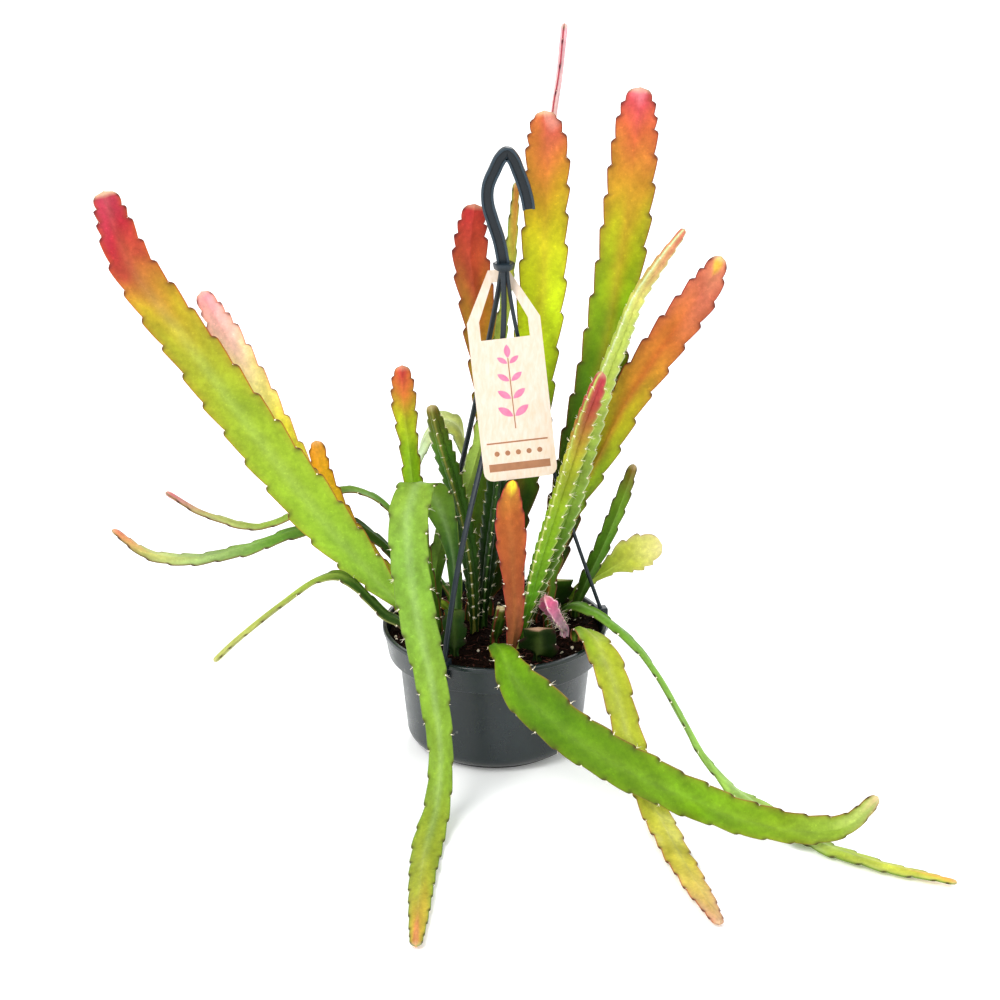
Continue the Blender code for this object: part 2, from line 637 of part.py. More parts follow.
def sweep(name, centres, corners_at):
    """A closed tube of the same number of corners at each centre."""
    points = []
    faces = []
    for k, centre in enumerate(centres):
        points += [centre + corner for corner in corners_at(k)]
    size = len(corners_at(0))
    for k in range(len(centres) - 1):
        for i in range(size):
            j = (i + 1) % size
            faces.append([size * k + i, size * k + j, size * (k + 1) + j, size * (k + 1) + i])
    faces.append(list(range(size)))
    faces.append(list(range(size * (len(centres) - 1), size * len(centres))))
    return make_object(name, points, faces)


def build_leg(leg):
    angle = math.radians(leg[0])
    sideways = np.array([-math.sin(angle), math.cos(angle), 0])
    places = [leg_place(leg, f) for f in np.linspace(0, 1, LEG_STATIONS)]

    def corners(k):
        low = places[min(k + 1, LEG_STATIONS - 1)]
        high = places[max(k - 1, 0)]
        along = (low - high) / np.linalg.norm(low - high)
        side = sideways - np.dot(sideways, along) * along
        side /= np.linalg.norm(side)
        out = np.cross(along, side)
        return [0.5 * LEG_WIDE * a * side + 0.5 * LEG_THICK * b * out
                for a, b in ((-1, -1), (1, -1), (1, 1), (-1, 1))]
    return sweep("leg", places, corners)


def build_clip(angle_deg):
    """The saddle at a leg's end: a bridge over the lip with a short and a long tab."""
    angle = math.radians(angle_deg)
    out = np.array([math.cos(angle), math.sin(angle), 0])
    side = np.array([-math.sin(angle), math.cos(angle), 0])
    over = RIM_Z + TOUCH_GAP
    top = over + CLIP_TOP
    inner = RIM_R - CLIP_LIP - TOUCH_GAP
    outer = RIM_R + 2 * TOUCH_GAP
    outline = [
        (inner - CLIP_THICK, over - CLIP_IN_H), (inner - CLIP_DRAFT, over - CLIP_IN_H),
        (inner, over), (outer, over), (outer, over - CLIP_OUT_H),
        (outer + CLIP_THICK, over - CLIP_OUT_H), (outer + CLIP_THICK, top - CLIP_BEVEL),
        (outer + CLIP_THICK - CLIP_BEVEL, top), (inner - CLIP_THICK + CLIP_BEVEL, top),
        (inner - CLIP_THICK, top - CLIP_BEVEL),
    ]
    ends = [-0.5 * CLIP_WIDE * side, 0.5 * CLIP_WIDE * side]
    section = [r * out + np.array([0, 0, z]) for r, z in outline]
    return sweep("clip", ends, lambda k: section)


def build_hook():
    """A curved bar with a groove down each face, in the plane y = 0."""
    route = smooth_route([(x, 0, z) for x, z in HOOK_ROUTE], HOOK_STEPS)
    wide = 0.5 * HOOK_WIDE
    deep = 0.5 * HOOK_DEEP
    web = 0.5 * HOOK_WEB
    rim = wide - HOOK_FLANGE
    section = [(-wide, -deep), (-rim, -deep), (-rim, -web), (rim, -web), (rim, -deep),
               (wide, -deep), (wide, deep), (rim, deep), (rim, web), (-rim, web),
               (-rim, deep), (-wide, deep)]

    def corners(k):
        low = route[max(k - 1, 0)]
        high = route[min(k + 1, len(route) - 1)]
        along = (high - low) / np.linalg.norm(high - low)
        side = np.array([along[2], 0, -along[0]])
        return [a * side + b * np.array([0, 1, 0]) for a, b in section]
    return sweep("hook", route, corners)


def build_collar():
    """The six-sided collar that the hook and the legs grow out of."""
    centres = [np.array([HUB_X, 0, COLLAR_Z]), np.array([HUB_X, 0, COLLAR_Z + COLLAR_H])]

    def corners(k):
        radius = (COLLAR_LOW_R, COLLAR_TOP_R)[k]
        angles = [2 * math.pi * i / COLLAR_SIDES for i in range(COLLAR_SIDES)]
        return [radius * np.array([math.cos(a), math.sin(a), 0]) for a in angles]
    return sweep("hanger", centres, corners)


def build_hanger(material):
    hanger = build_collar()
    others = [build_hook()]
    for leg in LEGS:
        others.append(build_leg(leg))
        others.append(build_clip(leg[0]))
    apply_boolean(hanger, others, "UNION")
    hanger.data.materials.clear()
    hanger.data.materials.append(material)
    shade_round(hanger, 40)


def tag_outline():
    """The card's outer edge, clockwise from the left of its peak: (across, down)."""
    outer = [(-TAG_PEAK_HALF, 0), (TAG_PEAK_HALF, 0), (TAG_HALF, TAG_SHOULDER)]
    for side in (1, -1):
        for step in range(TAG_CORNER_STEPS + 1):
            angle = 0.5 * math.pi * step / TAG_CORNER_STEPS
            across = math.cos(angle) if side == 1 else math.sin(angle)
            down = math.sin(angle) if side == 1 else math.cos(angle)
            outer.append((side * (TAG_HALF - TAG_CORNER + TAG_CORNER * across),
                          TAG_LENGTH - TAG_CORNER + TAG_CORNER * down))
    outer.append((-TAG_HALF, TAG_SHOULDER))
    return outer


def tag_opening():
    """The house-shaped hole that the legs pass through."""
    return [(-TAG_OPEN_TOP_HALF, TAG_OPEN_TOP), (TAG_OPEN_TOP_HALF, TAG_OPEN_TOP),
            (TAG_OPEN_HALF, TAG_SHOULDER), (TAG_OPEN_HALF, TAG_OPEN_LOW),
            (-TAG_OPEN_HALF, TAG_OPEN_LOW), (-TAG_OPEN_HALF, TAG_SHOULDER)]


def tag_slab(name, outline, half):
    """An outline of the tag's plane, made into a slab of a half thickness."""
    lean = math.radians(TAG_LEAN_DEG)
    roll = math.radians(TAG_ROLL_DEG)
    down = np.array([math.sin(roll), -math.sin(lean), -math.cos(lean) * math.cos(roll)])
    down /= np.linalg.norm(down)
    across = np.array([1.0, 0.0, 0.0])
    across = across - np.dot(across, down) * down
    across /= np.linalg.norm(across)
    facing = np.cross(across, down)
    centre = np.array(TAG_TOP)
    points = []
    for side in (-1, 1):
        points += [centre + a * across + d * down + side * half * facing for a, d in outline]
    size = len(outline)
    faces = [list(range(size)), list(range(size, 2 * size))]
    for i in range(size):
        j = (i + 1) % size
        faces.append([i, j, size + j, size + i])
    return make_object(name, points, faces)


def build_tag(material):
    tag = tag_slab("hang_tag", tag_outline(), 0.5 * TAG_THICK)
    apply_boolean(tag, [tag_slab("opening", tag_opening(), CUT_PAST)], "DIFFERENCE")
    tag.data.materials.clear()
    tag.data.materials.append(material)


def main():
    clear_scene()
    build_pot(make_material("pot_plastic", CHARCOAL, 0.45))
    build_soil(make_material("soil", EARTH, 0.95))
    build_hanger(make_material("hanger_plastic", SLATE, 0.4))
    build_tag(make_material("tag_card", CARD, 0.6))
    colours = {stem.colour for stem in STEMS}
    materials = {}
    for number, colour in enumerate(sorted(colours)):
        materials[colour] = make_material("stem_skin_%d" % (number + 1), colour, 0.45)
    build_stems(materials)


main()
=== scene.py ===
"""Looks of the potted fishbone cactus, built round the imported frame.

Sizes in the tables are in millimetres, as in the part's source; MM turns them into metres.
"""

import math
import random
from collections import namedtuple

import bmesh
import bpy
import numpy as np
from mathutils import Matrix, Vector, noise


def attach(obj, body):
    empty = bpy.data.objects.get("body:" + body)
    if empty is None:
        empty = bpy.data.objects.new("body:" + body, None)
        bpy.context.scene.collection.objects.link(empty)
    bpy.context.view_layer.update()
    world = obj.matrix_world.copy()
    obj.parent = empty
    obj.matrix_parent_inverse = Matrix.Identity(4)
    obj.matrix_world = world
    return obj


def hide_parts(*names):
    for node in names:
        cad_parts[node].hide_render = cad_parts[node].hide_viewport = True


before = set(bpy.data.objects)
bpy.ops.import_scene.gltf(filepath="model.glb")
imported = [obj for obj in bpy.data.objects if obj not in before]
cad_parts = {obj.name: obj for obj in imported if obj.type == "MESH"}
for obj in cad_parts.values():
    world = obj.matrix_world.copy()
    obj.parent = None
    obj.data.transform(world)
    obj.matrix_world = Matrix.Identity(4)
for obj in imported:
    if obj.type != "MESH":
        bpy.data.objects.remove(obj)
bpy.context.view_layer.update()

MM = 0.001
SEED = 7

# Pot and soil
RIM_R = 76.0
RIM_Z = 86.0
BAND_Z = 66.0
BAND_R = 72.0
STEP_LOW_Z = BAND_Z + 0.4
STEP_TOP_Z = BAND_Z + 2.6
WALL_TOP_R = 65.0
WALL_LOW_R = 60.0
CORNER_R = 11.0
FOOT_R = 49.0
FOOT_H = 2.4
FLOOR_Z = 3.4
WALL = 2.2
DRAIN_RING_R = 34.0
DRAIN_R = 3.5
DRAIN_COUNT = 6
DRAIN_TURN = 0.4
TOUCH_GAP = 0.3
SOIL_Z = 78.5
SOIL_R = 70.9
SOIL_SIDES = 150
SOIL_RINGS = 62
SCATTER_R = 68.0
CRUMBS = 1500
FIBRES = 330
GRAINS = 45
BIG_GRAINS = ((24, -58, 2.3), (14, -62, 1.3), (52, -28, 1.4))

# Hanger
HUB_X = 6.0
COLLAR_Z = 336.0
COLLAR_H = 4.5
LEGS = ((14.0, 1.32, 0.0), (125.0, 1.1, 0.0), (243.5, 1.5, 0.6))
LEG_WIDE = 3.4
LEG_THICK = 2.4
LEG_HUB_R = 1.9
LEG_END_R = 74.5
LEG_ROWS = 70
CLIP_WIDE = 7.0
CLIP_TOP = 2.6
CLIP_OUT_H = 14.0
CLIP_IN_H = 5.4
CLIP_THICK = 2.2
CLIP_LIP = 3.4
HOOK_WIDE = 8.2
HOOK_DEEP = 5.2
HOOK_WEB = 2.2
HOOK_FLANGE = 1.7
HOOK_ROUTE = (
    (6, 338.5), (3, 355), (-1.2, 368.5), (-4.4, 381), (-4, 392), (0, 402), (4, 410),
    (8, 413.3), (11.8, 409.5), (15, 402), (18.6, 392), (21.2, 382), (22, 376.5),
)

# Hang tag
TAG_TOP = (2.0, 9.0, 333.0)
TAG_LEAN_DEG = 17.5
TAG_ROLL_DEG = 6.5
TAG_THICK = 0.9

# Floor, lights (name, place, target, size, power, shade) and camera, with places in metres
FLOOR_SIZE = 14
FLOOR_LEVEL = -0.0004
LIGHTS = (
    ("key", (-1.1, -1.5, 1.9), (0, 0, 0.15), 1.1, 50, (1.0, 0.985, 0.96)),
    ("fill", (1.7, -1.2, 1.1), (0, 0, 0.15), 1.6, 15, (1, 1, 1)),
    ("back", (0.4, 1.6, 1.6), (0, 0, 0.25), 1.4, 32, (1, 1, 1)),
)
LENS = 108
SENSOR = 36
VIEW_TARGET = (0.0035, 0, 0.175)
VIEW_FAR = 2.0
VIEW_LIFT_DEG = 22

# Stems
ROOT_RISE = 5.0
PEG_R = 3.2
FLAT_MIDRIB = 2.2
RIB_CORE = 2.8
TOOTH_DEPTH = 2.6
FULL_TOOTH_WIDTH = 22.0
BASE_PLAIN = 12.0
CAP_LONGEST = 12.0
CAP_PART = 0.9
TWIST_RUN = 110.0
SHOULDER = 0.84
SHOULDER_ROOM = 3.0
TIP_PITCH = 14.0
TIP_RUN = 110.0
TIP_ROUND = 2.6
TIP_STEP = 9.0

SIDEWAYS = (1, 0, 0)
UPWARD = (0, 0, 1)
INWARD = (0, 1, 0)
FORWARD = (0, -1, 0)

# A stem stands at the first place of its path. Each later row gives a place and the width
# there. Its looks are the colour stops from the soil to the tip, the colour of its margins, the
# colour and strength of its middle stripe, how woolly and bristly it is, how many notches it has
# to a tooth of the solid, how deep they are, and how creamy its tip is. A cut stem ends flat.
# With a later direction, its width turns from across to that over the first part of its length.
Stem = namedtuple("Stem", "name slot ribs pitch across path stops edge rib rib_mix wool bristle "
                  "teeth tooth cream cut later",
                  defaults=("#7a3a2a", "#9cb45a", 0.1, 1.0, 0.35, 1, 1.0, 0.25, False, None))

# The darkest stops, low down near the soil and on the stems deep inside the crown, are partly the stems'
# own deep green and partly painted shade.
STEMS = (
    Stem("stem_tall_left", "green", 2, 24, SIDEWAYS, ((-54, 6), (-72, 5, 107, 19), (-104, 3, 146, 35),
        (-148, 0, 208, 38), (-195, -5, 281, 36), (-235, -8, 345, 30), (-249, -10, 391, 19)),
        "0 #4c7a24, .08 #88b850, .3 #8cb440, .52 #8ca63a, .68 #9ca038, .77 #b09c34, .82 #b47c30, "
        ".86 #ac4830, .92 #a42430, 1 #b43c50", "#b05424", "#a8c46c", 0.22, cream=0.6),
    Stem("stem_left_behind", "green", 2, 21, SIDEWAYS, ((-46, 20), (-91, 22, 123, 15),
        (-129, 25, 184, 20), (-154, 27, 234, 23), (-178, 27, 283, 21), (-193, 27, 312, 13)),
        "0 #55852f, .35 #c0c44c, .6 #f8ea68, .76 #fcecaa, .88 #fcccbc, 1 #f098a4", "#e08468", "#fcf4b8",
        0.15),
    Stem("stem_left_small_behind", "green", 2, 17, SIDEWAYS, ((-32, 28), (-72, 36, 106, 11),
        (-98, 38, 138, 15), (-116, 40, 174, 16), (-121, 40, 202, 11)),
        "0 #5d8a35, .4 #c0bc44, .75 #f8cc40, .92 #fcb834, 1 #f4a844", "#a84828"),
    Stem("stem_left_narrow", "pink", 2, 17, INWARD, ((-30, 46), (-59, 60, 119, 8), (-75, 68, 143, 12),
        (-102, 70, 155, 14), (-132, 70, 140, 14), (-162, 70, 127, 14), (-199, 68, 136, 12),
        (-227, 66, 154, 6)),
        "0 #33561f, .4 #5c8a38, .7 #8aa85c, .88 #a8ac74, .96 #c88c84, 1 #d5707a", "#8a7044"),
    Stem("stem_left_curled", "red", 2, 18, (0, 1, 0.8), ((-44, 38), (-66, 48, 108, 9),
        (-79, 51, 123, 12), (-103, 52, 138, 14), (-134, 52, 131, 15), (-175, 50, 117, 15),
        (-210, 49, 111, 14), (-237, 49, 114, 13), (-263, 49, 133, 7)),
        "0 #274417, .4 #335a20, .55 #5f9044, .75 #a0bc84, .9 #b8bc80, .96 #d09468, 1 #d4785c", "#7a6a40",
        later=(0, 1, 0.3)),
    Stem("stem_left_straight", "pale", 2, 17, (0, 1, 0.6), ((-52, -14), (-74, -12, 97, 12),
        (-102, -11, 124, 13), (-119, -10, 121, 9), (-143, -11, 104, 9), (-174, -12, 78, 9),
        (-190, -12, 62, 6)),
        "0 #223f18, .35 #30541f, .5 #86a054, .8 #b0bc78, 1 #b8c080", "#9a9c5c", bristle=1.1,
        later=(0, 1, 0.1)),
    Stem("stem_front_drooping", "pale", 2, 19, SIDEWAYS, ((-27, -16), (-26, -14, 110, 9),
        (-29, -12, 148, 12), (-40, -15, 184, 24), (-50, -26, 196, 26), (-56, -44, 182, 27),
        (-55, -60, 152, 26), (-49, -76, 118, 25), (-41, -92, 85, 22), (-35, -111, 43, 17),
        (-37, -130, 15, 18), (-42, -156, 3.6, 21), (-45, -200, 3.2, 18), (-46, -245, 3.2, 14),
        (-47, -288, 3.2, 8)),
        "0 #1f3d17, .14 #33602a, .2 #6a9440, .27 #80a44e, .38 #78a450, .65 #7c9e42, .86 #a8b050, "
        ".96 #c4a454, 1 #c8824c", "#6f8a34", "#b2d08c", 0.25, bristle=1.7, tooth=0.5),
    Stem("stem_left_short", "green", 2, 17, SIDEWAYS, ((-38, -4), (-46, 1, 130, 9), (-53, 5, 173, 14),
        (-57, 6, 212, 14), (-60, 6, 244, 18), (-61, 6, 268, 13)),
        "0 #294a1a, .45 #5f9026, .68 #84b01e, .82 #a0ac24, .92 #c4702c, 1 #b83c34", "#8a4a28",
        bristle=0.8),
    Stem("stem_mid_ribbed", "dark", 3, 17, FORWARD, ((-14, -1), (-17, -1, 135, 15), (-26, -1, 181, 16),
        (-35, 0, 213, 17), (-42, 1, 242, 10)),
        "0 #1c3816, .5 #2f5420, .8 #3f6a24, .93 #5c6a2c, 1 #7a6634", "#7a7a34", "#264a1c", 0.08,
        wool=1.2, bristle=1.4, teeth=2),
    Stem("stem_mid_dark", "dark", 3, 17, FORWARD, ((-8, 9), (-5, 10, 125, 16), (1, 11, 175, 18),
        (4, 12, 214, 10)),
        "0 #0f240a, 1 #1e3c14", "#3c5c24", "#183010", 0.08, wool=1.2, bristle=1.5, teeth=2),
    Stem("stem_back_pale", "pale", 2, 18, (0, 1, 0.8), ((-10, 46), (-15, 50, 125, 14),
        (-19, 55, 167, 18), (-22, 57, 192, 20), (-28, 58, 206, 20), (-37, 58, 209, 19),
        (-45, 57, 199, 17), (-50, 56, 187, 14), (-53, 56, 177, 8)),
        "0 #4c7a34, .55 #9cb864, .7 #c0cc7c, .85 #c8d8a4, 1 #c0d8c0", "#a9bc88", "#d5e4c0", 0.2),
    Stem("stem_mid_edge_on", "pale", 2, 19, (1, 0.4, 0), ((-39, 11), (-41, 16, 113, 13),
        (-34, 16, 147, 14), (-20, 15, 177, 13), (-13, 14, 200, 13), (-10, 14, 212, 12),
        (-4, 15, 243, 12), (2, 17, 275, 11), (7, 22, 307, 9), (11, 21, 346, 9), (14, 21, 388, 5)),
        "0 #1f3d17, .12 #5c8c40, .25 #9cc474, .6 #a4c070, .85 #b0b45c, 1 #c88440", "#94a850"),
    Stem("stem_back_red", "red", 2, 23, SIDEWAYS, ((-4, 27), (-9, 30, 125, 20), (-3, 34, 185, 24),
        (-3, 40, 232, 25), (-10, 43, 287, 25), (-16, 43, 335, 25), (-13, 43, 367, 16)),
        "0 #294a1a, .35 #54782a, .56 #80842a, .72 #a0702a, .86 #a84828, 1 #a82c2c", "#963c30", "#9c4a2c",
        0.2),
    Stem("stem_back_centre_tall", "green", 2, 24, SIDEWAYS, ((-18, 20), (-7, 22, 102, 20),
        (8, 24, 142, 25), (18, 27, 184, 29), (23, 27, 220, 31), (26, 27, 257, 31), (31, 27, 313, 33),
        (33, 27, 360, 31), (34, 27, 408, 29), (32, 27, 434, 18)),
        "0 #17300f, .28 #2a4c19, .36 #5f8c28, .47 #a0c82a, .62 #c6e02c, .7 #c8d62c, .78 #c4be2a, "
        ".86 #c49a2c, .93 #c87434, .98 #cc6048, 1 #dc8a78", "#8a4428", "#cc8c38", 0.2, cream=0.4),
    Stem("stem_back_thin", "pink", 2, 25, (0.2, 1, 0), ((18, 42), (20, 43, 170, 12), (23, 46, 264, 12),
        (30, 46, 348, 12), (38, 45, 424, 11), (42, 44, 455, 10), (45, 43, 487, 5)),
        "0 #3c6629, .4 #8a9c4c, .62 #dcd4a8, .75 #f0d4bc, .9 #f0c4c4, 1 #e8a8b0", "#b04450", "#e0a0a4",
        0.25, wool=1.5, bristle=0),
    Stem("stem_right_tall", "green", 2, 24, SIDEWAYS, ((26, 16), (37, 18, 118, 19), (47, 18, 161, 26),
        (58, 17, 211, 30), (70, 16, 260, 33), (77, 16, 302, 33), (83, 16, 344, 33), (88, 16, 390, 33),
        (91, 16, 429, 28), (93, 16, 452, 18)),
        "0 #1c3814, .25 #2f5219, .45 #4c781c, .62 #7aa01c, .76 #a6a424, .86 #bc862c, .93 #c46036, "
        ".98 #c84c50, 1 #d8707a", "#8a3a2e", "#b8702c", 0.25, cream=0.4),
    Stem("stem_right_three_angled", "pale", 3, 20, SIDEWAYS, ((20, -6), (32, -7, 128, 17),
        (47, -9, 169, 18), (61, -4, 220, 18), (72, -3, 263, 17), (82, -3, 291, 15), (92, -3, 318, 13),
        (107, -4, 343, 11), (122, -4, 364, 6)),
        "0 #2f5520, .3 #5c8430, .5 #92ac60, .75 #b5c878, .86 #c8c080, .93 #c89c70, 1 #c46454", "#c8d49c",
        "#8fac58", 0.06, wool=1.2, bristle=1.1, teeth=2, cream=0.1),
    Stem("stem_right_red", "red", 2, 22, SIDEWAYS, ((36, 6), (37, 6, 122, 15), (47, 6, 160, 18),
        (69, 7, 204, 24), (85, 8, 239, 27), (105, 8, 273, 28), (124, 8, 301, 27), (137, 8, 321, 24),
        (147, 8, 342, 11)),
        "0 #2c5a20, .25 #6f9c3c, .42 #8cac26, .56 #b0a826, .67 #b8842a, .78 #c06c2c, .92 #c86c50, "
        ".98 #cc7c5c, 1 #dcb05c", "#8c3430", "#b04a20", 0.5, cream=0.45),
    Stem("stem_right_small_ribbed", "red", 3, 17, SIDEWAYS, ((16, -25), (29, -35, 145, 16),
        (41, -40, 190, 16), (49, -42, 218, 17), (57, -42, 246, 17), (64, -41, 266, 15),
        (69, -41, 280, 9)),
        "0 #2f5520, .25 #548c28, .5 #86b02c, .68 #9ca438, .78 #a07838, .88 #b04c3c, 1 #bc3c4a",
        "#b4c060", "#6c9c30", 0.06, wool=1.5, bristle=2.2, teeth=2),
    Stem("stem_front_orange", "red", 2, 17, SIDEWAYS, ((11, -39), (13, -40, 98, 11), (13, -40, 121, 14),
        (12, -40, 140, 16), (11, -40, 162, 21), (10, -40, 186, 18), (12, -40, 205, 7)),
        "0 #86603c, .15 #905434, .4 #984c28, .8 #a85826, .93 #b87430, 1 #f0dc50", "#b04038", "#b07038",
        0.25, bristle=1.0, tooth=0.5, cream=0),
    Stem("stem_right_short", "green", 2, 16, SIDEWAYS, ((55, 25), (62, 26, 105, 10), (70, 25, 124, 12),
        (79, 21, 149, 12), (87, 17, 174, 11), (93, 14, 195, 6)),
        "0 #1f3d17, .5 #528428, .8 #6a9030, 1 #7a5c30", "#5f5a2a"),
    Stem("stem_right_pale_oval", "pale", 2, 14, (-0.6, 0, 1), ((48, 37), (66, 35, 102, 9),
        (78, 32, 112, 13), (90, 29, 121, 26), (103, 27, 128, 26), (114, 27, 131, 17)),
        "0 #3f7024, .5 #b0cc58, .75 #d4de74, 1 #e4dca0", "#d0b890"),
    Stem("stem_right_long_thin", "green", 2, 20, (0.3, 1, 0.3), ((46, 16), (49, 12, 91, 9),
        (58, 3, 95.5, 11), (73, -9, 92.5, 12), (92, -18, 79, 13), (110, -31, 59, 14), (125, -48, 37, 15),
        (141, -71, 16, 16), (158, -91, 4.6, 17), (176, -116, 3.2, 17), (196, -148, 3.2, 17),
        (218, -172, 3.2, 16), (250, -193, 3.2, 14), (288, -211, 3.2, 7)),
        "0 #2f5520, .12 #649838, .4 #84b464, .75 #9cbc60, .93 #b8bc60, 1 #d0a060", "#6f8a34", "#b8d494",
        0.25, bristle=1.1, later=INWARD),
    Stem("stem_front_right_broad", "green", 2, 18, SIDEWAYS, ((0, -41), (0, -52, 92, 11),
        (6, -71, 94.5, 17), (13, -88, 85, 29), (31, -105, 72, 38), (55, -119, 57, 37),
        (85, -131, 43, 35), (116, -143, 32, 32), (141, -153, 25, 29), (168, -162, 20, 26),
        (195, -168, 18, 23), (221, -168, 20, 18), (243, -163, 38, 10)),
        "0 #2f5a1c, .14 #64941e, .3 #4e7a14, .5 #648e1c, .65 #6f9e24, .8 #7a9c28, .9 #8cac50, "
        ".96 #acc07c, 1 #c8b088", "#8a6a2c", "#94b848", 0.15, bristle=1.6, tooth=0.55, later=UPWARD),
    Stem("stem_front_right_second", "green", 2, 19, SIDEWAYS, ((54, -14), (57, -28, 93, 10),
        (64, -42, 94, 17), (71, -55, 88, 21), (78, -68, 75, 22), (83, -82, 61, 20), (88, -97, 46, 20),
        (96, -108, 24, 20), (104, -122, 7, 20), (110, -145, 3.2, 20), (117, -180, 3.2, 19),
        (127, -222, 3.2, 16), (137, -262, 3.2, 8)),
        "0 #2f5a1c, .08 #6a9430, .2 #a0b040, .5 #b4bc50, .78 #c0b860, .92 #c4a470, 1 #cc9c7c", "#b06848",
        "#c4cb7c", 0.2, tooth=0.65),
    Stem("stem_right_flat_basal", "dark", 2, 9, (1, 0, -0.12), ((38, 29), (38, 29, 88, 25),
        (38, 29, 96, 32), (38, 28, 105, 33)),
        "0 #0f200a, .8 #1f3a12, .97 #3c6424, 1 #a9b078", "#1f3a12", cut=True),
    Stem("stem_pink_shoot", "pink", 4, 9, SIDEWAYS, ((47, -7), (44, -12, 90, 9), (39, -19, 101, 11),
        (36, -22, 108, 14), (33, -25, 116, 11)),
        "0 #dccccc, .35 #f0c8d4, .6 #ec98b8, .85 #e87098, 1 #e06490", "#ffb8d0", "#e488b0", 0.1,
        bristle=2.4, teeth=2),
    Stem("stub_pale_top", "dark", 3, 10, SIDEWAYS, ((0, -20), (1, -21, 90, 11), (4, -22, 106, 8)),
        "0 #17300f, .7 #2c5019, .96 #6c743c, 1 #d8c89c", bristle=1.0, cut=True),
    Stem("stub_front", "dark", 2, 11, SIDEWAYS, ((28, -46), (29, -46, 85, 22), (29, -46, 102, 22)),
        "0 #0c1906, .85 #11240b, .97 #2a3820, 1 #b08c74", "#11240b", cut=True),
    Stem("stub_front_left", "dark", 2, 11, SIDEWAYS, ((-27, -38), (-27, -37, 87, 16),
        (-27, -36, 111, 15)),
        "0 #14280d, .8 #23421a, 1 #4a6034", "#23421a", cut=True),
)


def colour(text):
    """Linear red, green and blue of a web colour."""
    parts = [int(text[i:i + 2], 16) / 255 for i in (1, 3, 5)]
    return np.array([c / 12.92 if c < 0.04045 else ((c + 0.055) / 1.055) ** 2.4 for c in parts])


def smoothstep(low, high, value):
    t = np.clip((value - low) / (high - low), 0, 1)
    return t * t * (3 - 2 * t)


def unit(vector):
    return vector / np.linalg.norm(vector)


def polar(radius, angle):
    return radius * math.cos(angle), radius * math.sin(angle)


def circle(radius, sides):
    return [polar(radius, 2 * math.pi * i / sides) for i in range(sides)]


def level_axes(angle):
    """The level direction at an angle, and the one square to it."""
    a, b = polar(1, angle)
    return np.array([a, b, 0]), np.array([-b, a, 0])


def make_object(name, points, faces, materials, slot, replaced=(), slots=None, tint=None,
                mend=False, sharp=None):
    """A piece from points in millimetres that rides on the part and may replace its nodes.

    With mend its faces are turned outwards. Edges that bend by more than sharp degrees are
    shaded as sharp ones.
    """
    mesh = bpy.data.meshes.new(name)
    mesh.from_pydata((np.asarray(points, float) * MM).tolist(), [], faces)
    for material in materials:
        mesh.materials.append(material)
    if slots is not None:
        mesh.polygons.foreach_set("material_index", slots)
    if tint is not None:
        layer = mesh.attributes.new("tint", "FLOAT_COLOR", "POINT")
        layer.data.foreach_set("color", np.c_[tint, np.ones(len(tint))].astype(np.float32).ravel())
    obj = bpy.data.objects.new(name, mesh)
    bpy.context.scene.collection.objects.link(obj)
    mesh.shade_smooth()
    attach(obj, "root")
    if replaced:
        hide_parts(*replaced)
    if mend:
        form = bmesh.new()
        form.from_mesh(mesh)
        bmesh.ops.recalc_face_normals(form, faces=form.faces)
        form.to_mesh(mesh)
        form.free()
    if sharp is not None:
        mesh.set_sharp_from_angle(angle=math.radians(sharp))
    return obj


# Materials

SKIN_DEPTH = 0.9


class Nodes:
    """A short way to write a node tree, with web colours for plain ones."""

    def __init__(self, name):
        self.material = bpy.data.materials.new(name)
        self.material.use_nodes = True
        self.tree = self.material.node_tree
        self.shader = self.tree.nodes["Principled BSDF"]
        self.place = self.add("TexCoord").outputs["Object"]

    def add(self, kind, **inputs):
        node = self.tree.nodes.new("ShaderNode" + kind)
        for key, value in inputs.items():
            self.plug(node.inputs[key.replace("_", " ")], value)
        return node

    def plug(self, socket, value):
        if isinstance(value, bpy.types.NodeSocket):
            self.tree.links.new(value, socket)
        else:
            socket.default_value = (*colour(value), 1.0) if isinstance(value, str) else value

    def noise(self, scale, detail=3.0, rough=0.55, place=None, distortion=0.0):
        return self.add("TexNoise", Vector=place or self.place, Scale=scale, Detail=detail,
                        Roughness=rough, Distortion=distortion).outputs["Fac"]

    def ramp(self, value, to_low, to_high, low=0.3, high=0.7):
        return self.add("MapRange", Value=value, From_Min=low, From_Max=high, To_Min=to_low,
                        To_Max=to_high).outputs["Result"]

    def mix(self, factor, one, two):
        node = self.add("Mix")
        node.data_type = "RGBA"
        for number, value in ((0, factor), (6, one), (7, two)):
            self.plug(node.inputs[number], value)
        return node.outputs[2]

    def scale(self, shade, factor):
        node = self.add("VectorMath")
        node.operation = "SCALE"
        self.plug(node.inputs[0], shade)
        self.plug(node.inputs[3], factor)
        return node.outputs[0]

    def bump(self, height, distance, strength, before=None):
        node = self.add("Bump", Height=height, Distance=distance, Strength=strength)
        if before is not None:
            self.plug(node.inputs["Normal"], before)
        return node.outputs["Normal"]

    def finish(self, base, rough, **values):
        for key, value in dict(values, Base_Color=base, Roughness=rough).items():
            self.plug(self.shader.inputs[key.replace("_", " ")], value)
        return self.material


